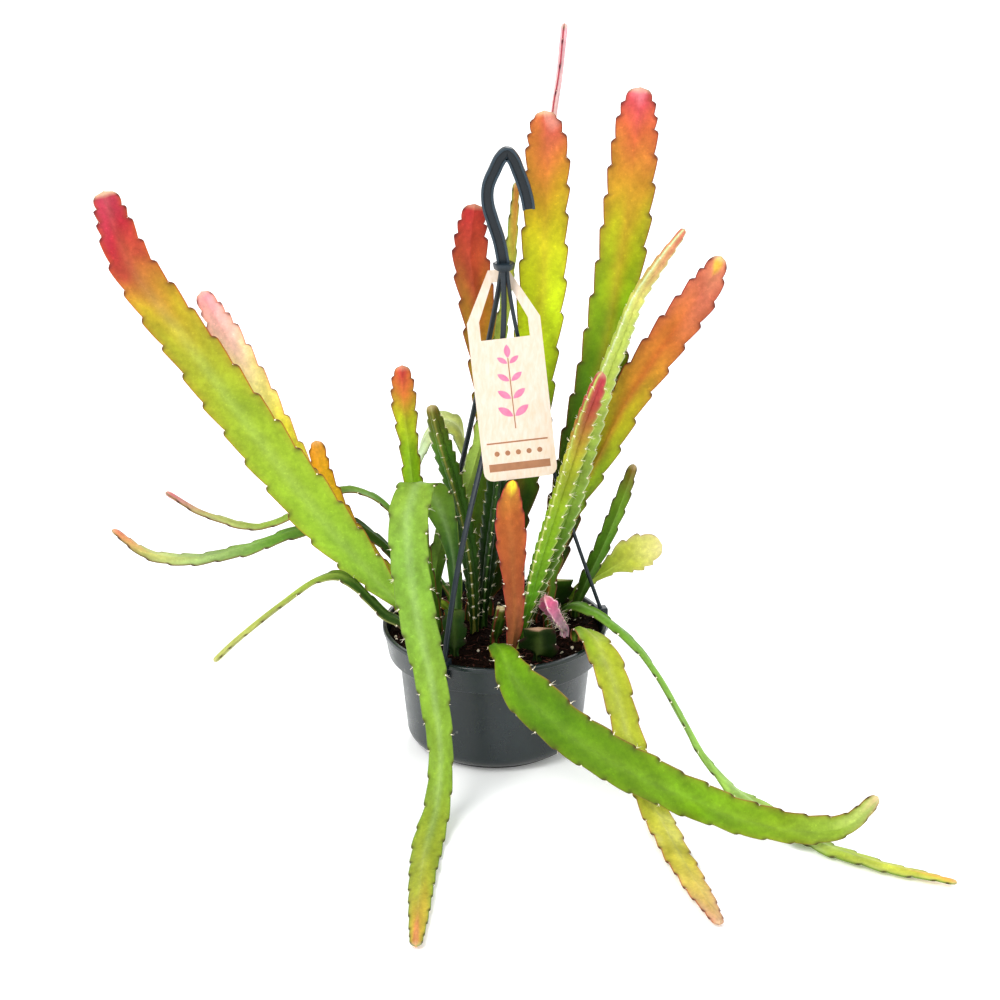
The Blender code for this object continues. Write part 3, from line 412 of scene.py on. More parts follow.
def skin_material():
    """Waxy stem skin: the tint of each point, mottled and finely speckled."""
    n = Nodes("stem_skin")
    tint = n.add("Attribute")
    tint.attribute_name = "tint"
    broad = n.ramp(n.noise(55, 3, 0.6), 0.84 * SKIN_DEPTH, 1.12 * SKIN_DEPTH)
    fine = n.ramp(n.noise(330, 4, 0.75), 0.86, 1.14)
    base = n.scale(n.scale(tint.outputs["Color"], broad), fine)
    flecks = n.ramp(n.noise(480, 3, 0.6), 0.0, 0.36, 0.6, 0.72)
    base = n.mix(flecks, base, n.scale(base, 1.7))
    relief = n.bump(n.noise(260, 4, 0.6), 0.0004, 0.35)
    relief = n.bump(n.noise(1500, 2, 0.5), 0.0001, 0.3, relief)
    return n.finish(base, n.ramp(n.noise(90), 0.32, 0.5), Normal=relief, Subsurface_Weight=0.05,
                    Subsurface_Radius=(0.6, 1.0, 0.25), Subsurface_Scale=0.002,
                    Specular_IOR_Level=0.1)


def wool_material():
    n = Nodes("areole_wool")
    return n.finish(n.mix(n.noise(700), "#fffae8", "#efe0bc"), 0.85, Specular_IOR_Level=0.2,
                    Normal=n.bump(n.noise(2500, 2), 0.0003, 0.6))


def pot_material():
    """Moulded charcoal plastic with a fine grain, faint dust and specks, and painted shade at its foot.
    """
    n = Nodes("pot_plastic")
    dust = n.ramp(n.noise(38, 5, 0.65), 0.0, 0.35, 0.5, 0.8)
    specks = n.ramp(n.noise(260, 2, 0.4), 0.0, 0.4, 0.74, 0.77)
    base = n.mix(specks, n.mix(dust, "#0c191c", "#192e32"), "#6a6c66")
    # Painted shade: from 9.5 mm down to 4.5 mm the colour falls to 0.12, for the dark shadow under the
    # pot's foot.
    height = n.add("SeparateXYZ", Vector=n.place).outputs["Z"]
    base = n.scale(base, n.ramp(height, 0.12, 1.0, 0.0045, 0.0095))
    relief = n.bump(n.noise(900), 0.00012, 0.5)
    relief = n.bump(n.noise(18, 2), 0.0008, 0.12, relief)
    return n.finish(base, n.ramp(n.noise(70, 4), 0.24, 0.36), Normal=relief,
                    Specular_IOR_Level=0.5)


def hanger_material():
    """Moulded slate plastic with painted shade down in the groove of the hook and a painted highlight on
    its flanges; the legs below the collar are a flat 0.7 darker.
    """
    n = Nodes("hanger_plastic")
    base = n.mix(n.noise(120), "#1a242c", "#26333c")
    parts = n.add("SeparateXYZ", Vector=n.place).outputs
    off = n.add("Math")
    off.operation = "ABSOLUTE"
    n.plug(off.inputs[0], parts["Y"])
    # Painted shade and highlight: the hook is darkened to 0.4 in its groove and lightened to 1.5 on its
    # flanges.
    groove_shade_and_highlight = n.ramp(off.outputs[0], 0.4, 1.5, 0.0013, 0.0024)
    upper = n.ramp(parts["Z"], 0.0, 1.0, 0.338, 0.344)
    base = n.mix(upper, n.scale(base, 0.7), n.scale(base, groove_shade_and_highlight))
    return n.finish(base, n.ramp(n.noise(200), 0.3, 0.42), Specular_IOR_Level=0.35,
                    Normal=n.bump(n.noise(1200, 2), 0.0001, 0.4))


def soil_material():
    """Dark damp peat with redder bits."""
    n = Nodes("potting_mix")
    red = n.ramp(n.noise(480, 3, 0.6), 0.0, 0.55, 0.6, 0.7)
    base = n.mix(red, n.mix(n.noise(230, 5, 0.7), "#080403", "#1e1009"), "#4a2012")
    return n.finish(base, 0.95, Normal=n.bump(n.noise(700, 5, 0.7), 0.0012, 0.8),
                    Specular_IOR_Level=0.06)


def grain_material(name, one, two):
    n = Nodes(name)
    return n.finish(n.mix(n.noise(900, 4, 0.7), one, two), 0.9,
                    Normal=n.bump(n.noise(1800), 0.0004, 0.7))


def card_material():
    """Pale wood-toned card with a faint upright grain."""
    n = Nodes("tag_card")
    stretch = n.add("Mapping", Vector=n.place, Scale=(420, 420, 22))
    grain = n.ramp(n.noise(1, 5, 0.6, stretch.outputs["Vector"], 0.4), 0.0, 1.0)
    return n.finish(n.mix(grain, "#dccdc0", "#d2bca2"), 0.5, Coat_Weight=0.2, Coat_Roughness=0.3,
                    Normal=n.bump(n.noise(1500, 2), 0.00005, 0.3))


def print_material(name, one, two):
    n = Nodes(name)
    return n.finish(n.mix(n.noise(260), one, two), 0.5, Coat_Weight=0.2, Coat_Roughness=0.3)


# Routes and turned forms

def between(t, low, high, one, two):
    return ((high - t) * one + (t - low) * two) / (high - low)


def smooth_route(rows, steps=20):
    """Centripetal Catmull-Rom curve through the rows, which may hold a width as well."""
    rows = np.array(rows, float)
    rows = np.vstack([2 * rows[0] - rows[1], rows, 2 * rows[-1] - rows[-2]])
    out = []
    for i in range(1, len(rows) - 2):
        four = rows[i - 1:i + 3]
        knots = [0.0]
        for a, b in zip(four, four[1:]):
            knots.append(knots[-1] + np.linalg.norm((b - a)[:3]) ** 0.5)
        for t in np.linspace(knots[1], knots[2], steps, endpoint=False):
            ones = [between(t, knots[k], knots[k + 1], four[k], four[k + 1]) for k in range(3)]
            twos = [between(t, knots[k], knots[k + 2], ones[k], ones[k + 1]) for k in range(2)]
            out.append(between(t, knots[1], knots[2], twos[0], twos[1]))
    out.append(rows[-2])
    return np.array(out)


def rounded(corners, radii, steps=5):
    """An open outline with each inner corner rounded off by its own radius."""
    out = [np.array(corners[0], float)]
    for before, here, after, radius in zip(corners, corners[1:], corners[2:], radii[1:-1]):
        before, here, after = (np.array(p, float) for p in (before, here, after))
        one = unit(before - here)
        two = unit(after - here)
        half = 0.5 * math.acos(float(np.clip(one @ two, -1, 1)))
        if radius == 0 or abs(half - 0.5 * math.pi) < 0.02:
            out.append(here)
            continue
        back = min(radius / math.tan(half), 0.48 * np.linalg.norm(before - here),
                   0.48 * np.linalg.norm(after - here))
        for k in range(steps + 1):
            t = k / steps
            out.append((1 - t) ** 2 * (here + back * one) + 2 * t * (1 - t) * here
                       + t * t * (here + back * two))
    out.append(np.array(corners[-1], float))
    return out


def turned(profile, sides):
    """Points and faces of a closed outline (radius, height) turned about the Z axis."""
    points = []
    rings = []
    for radius, height in profile:
        on_axis = radius < 1e-6
        rings.append([len(points) + (0 if on_axis else i) for i in range(sides)])
        points += [(0, 0, height)] if on_axis else [(x, y, height) for x, y in circle(radius, sides)]
    faces = []
    for low, high in zip(rings, rings[1:]):
        for i in range(sides):
            j = (i + 1) % sides
            corners = [low[i], low[j], high[j], high[i]]
            faces.append([c for k, c in enumerate(corners) if c != corners[k - 1]])
    return points, faces


def heading(route, k):
    """The direction of a route at one of its points."""
    return unit(route[min(k + 1, len(route) - 1)] - route[max(k - 1, 0)])


def sweep(points, faces, centres, sections):
    """Add a closed tube with one section at each centre, its corners given from there."""
    start = len(points)
    for centre, section in zip(centres, sections):
        points.extend(tuple(centre + corner) for corner in section)
    size = len(sections[0])
    for k in range(len(centres) - 1):
        for i in range(size):
            j = (i + 1) % size
            a = start + size * k
            faces.append([a + i, a + j, a + size + j, a + size + i])
    faces.append([start + i for i in range(size)])
    last = start + size * (len(centres) - 1)
    faces.append([last + i for i in reversed(range(size))])


# Pot and soil

def inner_radius(height):
    heights = [FLOOR_Z, FLOOR_Z + CORNER_R, STEP_LOW_Z, STEP_TOP_Z, RIM_Z]
    radii = [FOOT_R - 1.0, WALL_LOW_R - WALL, WALL_TOP_R - WALL, BAND_R - 1.6, RIM_R - 3.0]
    return float(np.interp(height, heights, radii))


def build_pot(material):
    """The pot: a turned shell with drain holes cut through its floor."""
    corners = [(0, 0.5), (FOOT_R - 5, 0.5), (FOOT_R - 3, 0), (FOOT_R, 0), (FOOT_R, FOOT_H)]
    radii = [0, 0.3, 0.3, 0.5, 0.4]
    for step in range(9):
        x, z = polar(CORNER_R, math.radians(-80 + 80 * step / 8))
        corners.append((WALL_LOW_R - CORNER_R + x, FOOT_H + CORNER_R + z))
        radii.append(0)
    corners += [(WALL_TOP_R, BAND_Z - 1.5), (BAND_R, BAND_Z), (RIM_R - 0.9, RIM_Z - 3.4),
                (RIM_R, RIM_Z - 3.0), (RIM_R, RIM_Z), (RIM_R - 2.6, RIM_Z)]
    corners += [(inner_radius(height), height) for height in
                (RIM_Z - 1.6, STEP_TOP_Z, STEP_LOW_Z, FLOOR_Z + CORNER_R, FLOOR_Z)]
    corners.append((0, FLOOR_Z))
    radii += [1.6, 1.2, 0.6, 0.6, 0.9, 0.9, 0.6, 1.0, 0.5, 1.5, 3.0, 0]
    pot = make_object("pot_shell", *turned(rounded(corners, radii), 160), [material],
                      "pot_plastic", ("pot",), mend=True)
    form = bmesh.new()
    for i in range(DRAIN_COUNT):
        made = bmesh.ops.create_cone(form, cap_ends=True, segments=24, radius1=DRAIN_R * MM,
                                     radius2=DRAIN_R * MM, depth=12 * MM)
        x, y = polar(DRAIN_RING_R, 2 * math.pi * (i + DRAIN_TURN) / DRAIN_COUNT)
        bmesh.ops.translate(form, verts=made["verts"], vec=Vector((x, y, FLOOR_Z)) * MM)
    mesh = bpy.data.meshes.new("drains")
    form.to_mesh(mesh)
    form.free()
    drains = bpy.data.objects.new("drains", mesh)
    bpy.context.scene.collection.objects.link(drains)
    cut = pot.modifiers.new("cut", "BOOLEAN")
    cut.object = drains
    cut.solver = "EXACT"
    bpy.context.view_layer.update()
    result = bpy.data.meshes.new_from_object(
        pot.evaluated_get(bpy.context.evaluated_depsgraph_get()))
    pot.modifiers.clear()
    pot.data = result
    bpy.data.objects.remove(drains, do_unlink=True)
    result.set_sharp_from_angle(angle=math.radians(50))


def soil_height(x, y):
    lumps = noise.fractal(Vector((x * 0.09, y * 0.09, 3.1)), 1.0, 2.0, 4)
    small = noise.fractal(Vector((x * 0.45, y * 0.45, 8.3)), 1.0, 2.0, 3)
    fade = 1 - float(smoothstep(62, 70, math.hypot(x, y)))
    return SOIL_Z + (0.9 * lumps + 0.7 * small) * fade + 0.2 * small


def lump_form():
    form = bmesh.new()
    bmesh.ops.create_icosphere(form, subdivisions=1, radius=1.0)
    points = [tuple(v.co) for v in form.verts]
    faces = [[v.index for v in f.verts] for f in form.faces]
    form.free()
    return points, faces


LUMP_POINTS, LUMP_FACES = lump_form()


def add_lump(points, faces, centre, size, rand, tall=1.0):
    """A small angular lump of twenty faces, with uneven corners."""
    a, b = polar(1, rand.uniform(0, math.pi))
    start = len(points)
    for x, y, z in LUMP_POINTS:
        far = size * rand.uniform(0.72, 1.15)
        points.append((centre[0] + far * (x * a - y * b), centre[1] + far * (x * b + y * a),
                       centre[2] + far * (z * tall)))
    faces.extend([start + i for i in face] for face in LUMP_FACES)


def add_fibre(points, faces, start, turn, length, radius, rand):
    """A thin bent fibre lying on the soil, half as thick at its far end."""
    along, side = level_axes(turn)
    along[2] = rand.uniform(-0.1, 0.25)
    bend = rand.uniform(-0.25, 0.25) * length
    shares = (0, 0.25, 0.5, 0.75, 1)
    sweep(points, faces,
          [np.array(start) + along * length * t + side * bend * t * (1 - t) for t in shares],
          [[radius * (1 - 0.5 * t) * (a * side + np.array([0, 0, b])) for a, b in circle(1, 4)]
           for t in shares])


def on_soil(rand):
    """A place on the soil, and the height of the soil there."""
    x, y = polar(SCATTER_R * math.sqrt(rand.random()), rand.uniform(0, 2 * math.pi))
    return x, y, soil_height(x, y)


def build_soil():
    """The potting mix: a lumpy top on a plug that fills the pot, with loose bits on it."""
    rand = random.Random(SEED)
    sides = SOIL_SIDES
    points = [(0, 0, soil_height(0, 0))]
    for ring in range(1, SOIL_RINGS + 1):
        points += [(x, y, soil_height(x, y)) for x, y in circle(SOIL_R * ring / SOIL_RINGS, sides)]
    for height in (STEP_TOP_Z, STEP_LOW_Z, FLOOR_Z + CORNER_R, FLOOR_Z + TOUCH_GAP):
        points += [(x, y, height) for x, y in circle(inner_radius(height) - TOUCH_GAP, sides)]
    points.append((0, 0, FLOOR_Z + TOUCH_GAP))
    faces = []
    for i in range(sides):
        j = (i + 1) % sides
        faces.append([0, 1 + i, 1 + j])
        for ring in range(SOIL_RINGS + 3):
            a = 1 + ring * sides
            faces.append([a + i, a + sides + i, a + sides + j, a + j])
        a = 1 + (SOIL_RINGS + 3) * sides
        faces.append([a + i, len(points) - 1, a + j])
    for _ in range(CRUMBS):
        x, y, z = on_soil(rand)
        size = rand.choice((0.5, 0.7, 0.9, 1.3, 1.9))
        add_lump(points, faces, (x, y, z + 0.2 * size), size, rand, 0.8)
    slots = [0] * len(faces)
    for _ in range(FIBRES):
        x, y, z = on_soil(rand)
        add_fibre(points, faces, (x, y, z + 0.4), rand.uniform(0, 2 * math.pi),
                  rand.uniform(2.5, 8), rand.uniform(0.18, 0.45), rand)
    slots += [1] * (len(faces) - len(slots))
    for _ in range(GRAINS):
        x, y, z = on_soil(rand)
        size = rand.uniform(0.5, 1.3)
        add_lump(points, faces, (x, y, z + 0.4 * size), size, rand)
    for x, y, size in BIG_GRAINS:
        add_lump(points, faces, (x, y, soil_height(x, y) + 0.5 * size), size, rand)
    slots += [2] * (len(faces) - len(slots))
    make_object("soil_crumbly", points, faces,
                [soil_material(),
                 grain_material("bark_fibre", "#2c120a", "#622c18"),
                 grain_material("perlite", "#e4dcc8", "#c4b498")],
                "potting_mix", ("soil",), slots, sharp=40)


# Hanger

def leg_place(leg, f):
    """A point of a leg, from the hub to its clip as f goes from 0 to 1."""
    angle_deg, late, held = leg
    spread = f ** late - held * math.sin(2 * math.pi * f) / (2 * math.pi)
    angle = math.radians(angle_deg)
    x, y = polar(LEG_HUB_R, angle)
    start = np.array([HUB_X + x, y, COLLAR_Z + 1])
    end = np.array([*polar(LEG_END_R, angle), RIM_Z + TOUCH_GAP + 0.5 * CLIP_TOP])
    return start + np.array([spread, spread, f]) * (end - start)


def round_box(wide, deep, bevel, steps=3):
    """Corners of a rectangle with rounded corners, about its middle."""
    out = []
    for sx, sy, start in ((1, 1, 0), (-1, 1, 90), (-1, -1, 180), (1, -1, 270)):
        for k in range(steps + 1):
            a, b = polar(bevel, math.radians(start + 90 * k / steps))
            out.append((sx * (0.5 * wide - bevel) + a, sy * (0.5 * deep - bevel) + b))
    return out


def groove_outline():
    """The section of the hook: a flat bar with a groove along each of its broad sides."""
    wide, deep, web = 0.5 * HOOK_WIDE, 0.5 * HOOK_DEEP, 0.5 * HOOK_WEB
    rim = wide - HOOK_FLANGE
    half = [(-wide + .4, -deep), (-rim - .3, -deep), (-rim, -deep + .3), (-rim + .2, -web),
            (rim - .2, -web), (rim, -deep + .3), (rim + .3, -deep), (wide - .4, -deep),
            (wide, -deep + .4), (wide, deep - .4)]
    return half + [(-a, -b) for a, b in half]


def build_hanger(material):
    """The hanger: three legs, a grooved hook and a six-sided collar, then its clips."""
    points = []
    faces = []
    for leg in LEGS:
        sideways = level_axes(math.radians(leg[0]))[1]
        places = [leg_place(leg, f) for f in np.linspace(0, 1, LEG_ROWS)]
        sections = []
        for k in range(LEG_ROWS):
            along = heading(places, k)
            side = unit(sideways - np.dot(sideways, along) * along)
            out = np.cross(along, side)
            sections.append([a * side + b * out for a, b in round_box(LEG_WIDE, LEG_THICK, 0.7)])
        sweep(points, faces, places, sections)
    route = smooth_route([(x, 0, z) for x, z in HOOK_ROUTE], 10)
    sections = []
    for k in range(len(route)):
        x, _, z = heading(route, k)
        sections.append([np.array([a * z, b, -a * x]) for a, b in groove_outline()])
    sweep(points, faces, route, sections)
    levels = ((6.1, 0), (6.6, 0.5), (7.2, COLLAR_H - 0.9), (7.2, COLLAR_H - 0.5), (6.7, COLLAR_H))
    turns = [2 * math.pi * i / 6 + turn for i in range(6) for turn in (-0.07, 0.07)]
    sweep(points, faces, [np.array([HUB_X, 0, COLLAR_Z + height]) for _, height in levels],
          [[np.array([*polar(radius, turn), 0]) for turn in turns] for radius, _ in levels])
    make_object("hanger_moulding", points, faces, [material], "hanger_plastic", ("hanger",),
                mend=True, sharp=38)
    for number, leg in enumerate(LEGS):
        build_clip("hanger_clip_%d" % (number + 1), math.radians(leg[0]), material)


def build_clip(name, angle, material):
    """The saddle at a leg's end, hooked over the lip of the pot."""
    out, side = level_axes(angle)
    over = RIM_Z + TOUCH_GAP
    inner = RIM_R - CLIP_LIP - TOUCH_GAP
    outer = RIM_R + 2 * TOUCH_GAP
    outline = rounded([
        (inner - 1.2, over - CLIP_IN_H), (inner - 0.4, over - CLIP_IN_H), (inner, over),
        (outer, over), (outer, over - CLIP_OUT_H), (outer + CLIP_THICK, over - CLIP_OUT_H),
        (outer + CLIP_THICK, over + CLIP_TOP), (inner - CLIP_THICK, over + CLIP_TOP),
        (inner - CLIP_THICK, over - CLIP_IN_H), (inner - 1.2, over - CLIP_IN_H)],
        [0, 0.3, 0.3, 0.3, 0.3, 0.8, 1.0, 1.0, 0.6, 0], 3)[:-1]
    middle = np.mean(outline, axis=0)
    half = 0.5 * CLIP_WIDE
    rows = [(-half, 0.4), (-half + 0.4, 0.0), (half - 0.4, 0.0), (half, 0.4)]
    sections = []
    for _, inset in rows:
        section = []
        for corner in outline:
            pull = corner - middle
            r, z = corner - inset * pull / max(1.0, np.linalg.norm(pull))
            section.append(r * out + np.array([0, 0, z]))
        sections.append(section)
    points = []
    faces = []
    sweep(points, faces, [shift * side for shift, _ in rows], sections)
    make_object(name, points, faces, [material], "hanger_plastic", mend=True, sharp=40)


# Hang tag

def tag_axes():
    """The card's directions across, down and out of its front."""
    lean = math.radians(TAG_LEAN_DEG)
    roll = math.radians(TAG_ROLL_DEG)
    down = unit(np.array([math.sin(roll), -math.sin(lean), -math.cos(lean) * math.cos(roll)]))
    across = unit(np.array([1.0, 0.0, 0.0]) - down[0] * down)
    return across, down, np.cross(down, across)


def build_print(name, shapes, material, lift=0.03, thick=0.04):
    """Flat printed shapes, given as outlines (across, down), on the front of the card."""
    across, down, facing = tag_axes()
    points = []
    faces = []
    for shape in shapes:
        section = [a * across + d * down for a, d in shape]
        sweep(points, faces, [np.array(TAG_TOP) + (0.5 * TAG_THICK + level) * facing
                              for level in (lift, lift + thick)], [section, section])
    make_object(name, points, faces, [material], "tag_card", mend=True, sharp=40)


def petal(x, y, turn, length, width, steps=14):
    """A pointed oval leaf shape from its foot."""
    a, b = polar(1, turn)
    out = []
    for k in range(steps):
        t = 2 * k / steps
        along = min(t, 2 - t)
        side = math.copysign(0.5 * width * math.sin(math.pi * along) ** 0.8, 1 - t)
        along *= length
        out.append((x + along * a - side * b, y + along * b + side * a))
    return out


def bar(x0, y0, x1, y1):
    return [(x0, y0), (x1, y0), (x1, y1), (x0, y1)]


def build_tag():
    """The card keeps its solid; its print is a plain sprig with dots and two bands."""
    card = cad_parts["hang_tag"]
    card.data.materials.clear()
    card.data.materials.append(card_material())
    leaves = []
    for k in range(4):
        y = 96 - 11.5 * k
        size = 11.5 - 1.2 * k
        leaves.append(petal(-0.6, y, math.radians(-145), size, 0.42 * size))
        leaves.append(petal(0.6, y, math.radians(-35), size, 0.42 * size))
    leaves.append(petal(0, 58, math.radians(-90), 9, 4.2))
    build_print("tag_print_sprig", leaves, print_material("print_pink", "#d8507c", "#e88aa8"))
    bands = [bar(-0.35, 58, 0.35, 104), bar(-20, 112, 20, 113), bar(-20, 126, 20, 131)]
    bands += [[(7 * k - 14 + x, 119.5 + y) for x, y in circle(1.7, 20)] for k in range(5)]
    build_print("tag_print_bands", bands, print_material("print_brown", "#8a5a3a", "#a8734c"))


# Stems

FACE_MARKS = (0.0, 0.04, 0.12, 0.28, 0.48, 0.68, 0.84, 0.94)
STATION = 1.1
FOOT_DEPTH = 4.0
EDGE_HALF = 0.55
SAG = {2: 1.0, 3: -2.2, 4: 1.6}
DARK_NOTCH = "#3a1620"
CREAM = "#f3e2b4"
WOOL_TINT = [1.25, 1.2, 1.05]


class Run:
    """A stem's centre line by distance from the soil, with its width and its cross frame."""

    def __init__(self, stem):
        (x, y), *rest = stem.path
        rows = [(x, y, SOIL_Z + rise, 2 * PEG_R) for rise in (0, ROOT_RISE)]
        self.points = smooth_route(rows + rest)
        gaps = np.linalg.norm(np.diff(self.points[:, :3], axis=0), axis=1)
        self.marks = np.concatenate([[0], np.cumsum(gaps)])
        self.length = float(self.marks[-1])
        self.cap = 0.0 if stem.cut else min(CAP_LONGEST, CAP_PART * rest[-1][3])
        self.across = np.array(stem.across, float)
        self.later = np.array(stem.later or stem.across, float)

    def at(self, s):
        return np.stack([np.interp(s, self.marks, self.points[:, k]) for k in range(4)], axis=-1)

    def frame(self, s):
        """Centres, width directions, directions square to both, and headings, at distances s."""
        s = np.atleast_1d(np.asarray(s, float))
        low = self.at(np.maximum(0.0, s - 1.5))[:, :3]
        high = self.at(np.minimum(self.length, np.maximum(s, 0) + 1.5))[:, :3]
        tangent = high - low
        tangent[s <= 0.01] = (0, 0, 1)
        tangent /= np.linalg.norm(tangent, axis=1)[:, None]
        turn = np.clip(s / TWIST_RUN, 0, 1)[:, None]
        across = (1 - turn) * self.across + turn * self.later
        wide = across - np.sum(across * tangent, axis=1)[:, None] * tangent
        wide /= np.linalg.norm(wide, axis=1)[:, None]
        centre = self.at(np.maximum(s, 0))[:, :3].copy()
        centre[:, 2] += np.minimum(s, 0)
        return centre, wide, np.cross(tangent, wide), tangent

    def stations(self):
        """The distances at which the stem has a ring of points, closer over a rounded tip."""
        body = np.arange(0, self.length - self.cap - 0.4, STATION)
        if self.cap == 0:
            tip = np.array([self.length - 0.35, self.length])
        else:
            tip = self.length - self.cap * np.cos(np.linspace(0, 0.5 * math.pi, 14))
        return np.concatenate([[-FOOT_DEPTH], body, tip])

    def shrink(self, s):
        """The share of its width that the stem has, which falls off over a rounded tip."""
        if self.cap == 0:
            return np.ones_like(s)
        u = np.clip((s - (self.length - self.cap)) / self.cap, 0, 1)
        return np.maximum(0.0, 1 - u ** TIP_ROUND) ** (1 / TIP_ROUND)


def rib_axes(rib, ribs, wide, deep):
    """The direction out along a rib, and the one square to it."""
    angle = 2 * math.pi * rib / ribs
    return (math.cos(angle) * wide + math.sin(angle) * deep,
            -math.sin(angle) * wide + math.cos(angle) * deep)


def stops_at(stops, t):
    """Tints between the stops, with the greens turned a little yellower."""
    marks, shades = zip(*(stop.split() for stop in stops.split(", ")))
    shades = np.array([colour(shade) for shade in shades])
    red, green, blue = shades.T
    fresh = smoothstep(0.25, 0.7, green / red) * (1 - smoothstep(0.25, 0.7, blue / green))
    shades *= 1 + fresh[:, None] * np.array([0.05, 0.0, -0.5])
    marks = [float(mark) for mark in marks]
    return np.stack([np.interp(t, marks, shades[:, k]) for k in range(3)], axis=-1)


def tooth_marks(stem, run, rib):
    """Distances of the notches along one margin, closer together towards the tip."""
    marks = []
    full = run.length - run.cap
    pitch = stem.pitch / stem.teeth
    place = BASE_PLAIN + (0.5 * stem.pitch * (rib % 2)) % pitch
    least = min(pitch, TIP_PITCH)
    while place < full - SHOULDER_ROOM:
        marks.append(place)
        place += least + (pitch - least) * min(1.0, (full - place) / TIP_RUN)
    if not stem.cut:
        last = marks[-1] if marks else BASE_PLAIN
        place = last + TIP_STEP
        while place < run.length - 0.5 * TIP_STEP:
            marks.append(place)
            place += TIP_STEP
    return np.array(marks + [place])


def tooth_inset(run, stem, s, marks):
    """How far a margin steps in at each distance: teeth widen towards the tip, then step in."""
    depth = TOOTH_DEPTH * np.minimum(1.0, run.at(s)[:, 3] / FULL_TOOTH_WIDTH) * stem.tooth
    if len(marks) < 2:
        return np.zeros_like(s)
    i = np.clip(np.searchsorted(marks, s, side="right") - 1, 0, len(marks) - 2)
    p = (s - marks[i]) / (marks[i + 1] - marks[i])
    rise = np.clip(p / SHOULDER, 0, 1) ** 0.8
    fall = np.cos(0.5 * math.pi * np.clip((p - SHOULDER) / (1 - SHOULDER), 0, 1)) ** 0.55
    ramp = np.where(i == len(marks) - 2, rise, rise * fall)
    ramp = np.where(p < 0, 1 - smoothstep(-0.15, 0, p), ramp)
    return depth * (1 - ramp)


def vein_at(s, v, marks, span):
    """Height of the side veins of a flat stem, one to a tooth, slanting up to the margins."""
    i = np.clip(np.searchsorted(marks, s) - 1, 0, max(0, len(marks) - 2))
    lag = ((s - marks[i]) / span + 0.6 * v) % 1.0
    lag = np.minimum(lag, 1 - lag) * span
    vein = np.exp(-(lag / 1.1) ** 2) * np.clip(s / 30, 0, 1)
    return vein * math.sin(math.pi * min(1, v + 0.12)) ** 0.6


def waves(seed, *values):
    """Smooth uneven numbers from about -1 to 1 along the given distances."""
    rand = random.Random(seed)
    total = 0.0
    for _ in range(5):
        total = total + np.sin(sum(rand.uniform(0.4, 1.6) * rand.choice((-1, 1)) * v
                                   for v in values) + rand.uniform(0, 6.3))
    return total / 2.6


def stem_tint(stem, number, rib, t, u, s, near, outer):
    """Colours of one line of points: striped in the middle, mottled, dark at the notches."""
    flat = stem.ribs == 2
    x = (1 - 2 * rib) * u if flat else 0.0
    place = t + 0.035 * (1 - u) - 0.015 + 0.022 * waves(SEED + number, s * 0.05, 3 * x)
    tint = stops_at(stem.stops, np.clip(place, 0, 1))
    tint *= (1 + 0.1 * waves(SEED + number + 40, s * 0.13, 4 * x)
             + 0.07 * waves(SEED + number + 80, s * 0.5, 9 * x))[:, None]
    stripe = stem.rib_mix * (1 - float(smoothstep(0.0, 0.45, u)))
    stripe = stripe * (1 - 0.85 * smoothstep(0.7, 0.9, t))
    tint += (colour(stem.rib) - tint) * stripe[:, None]
    warm = 0.12 + 0.2 * smoothstep(0.45, 0.9, t)
    rim = warm * float(smoothstep(0.6, 1.0, u)) + 0.4 * (u > 0.97) + 0.28 * outer
    tint += (colour(stem.edge) - tint) * rim[:, None]
    if flat:
        dark = near * (0.75 * float(smoothstep(0.75, 1.0, u)) + 0.15 * outer)
        dark = dark * (1 - 0.85 * smoothstep(0.4, 0.65, tint[:, 1]))
        tint += (colour(DARK_NOTCH) - tint) * dark[:, None]
    return tint


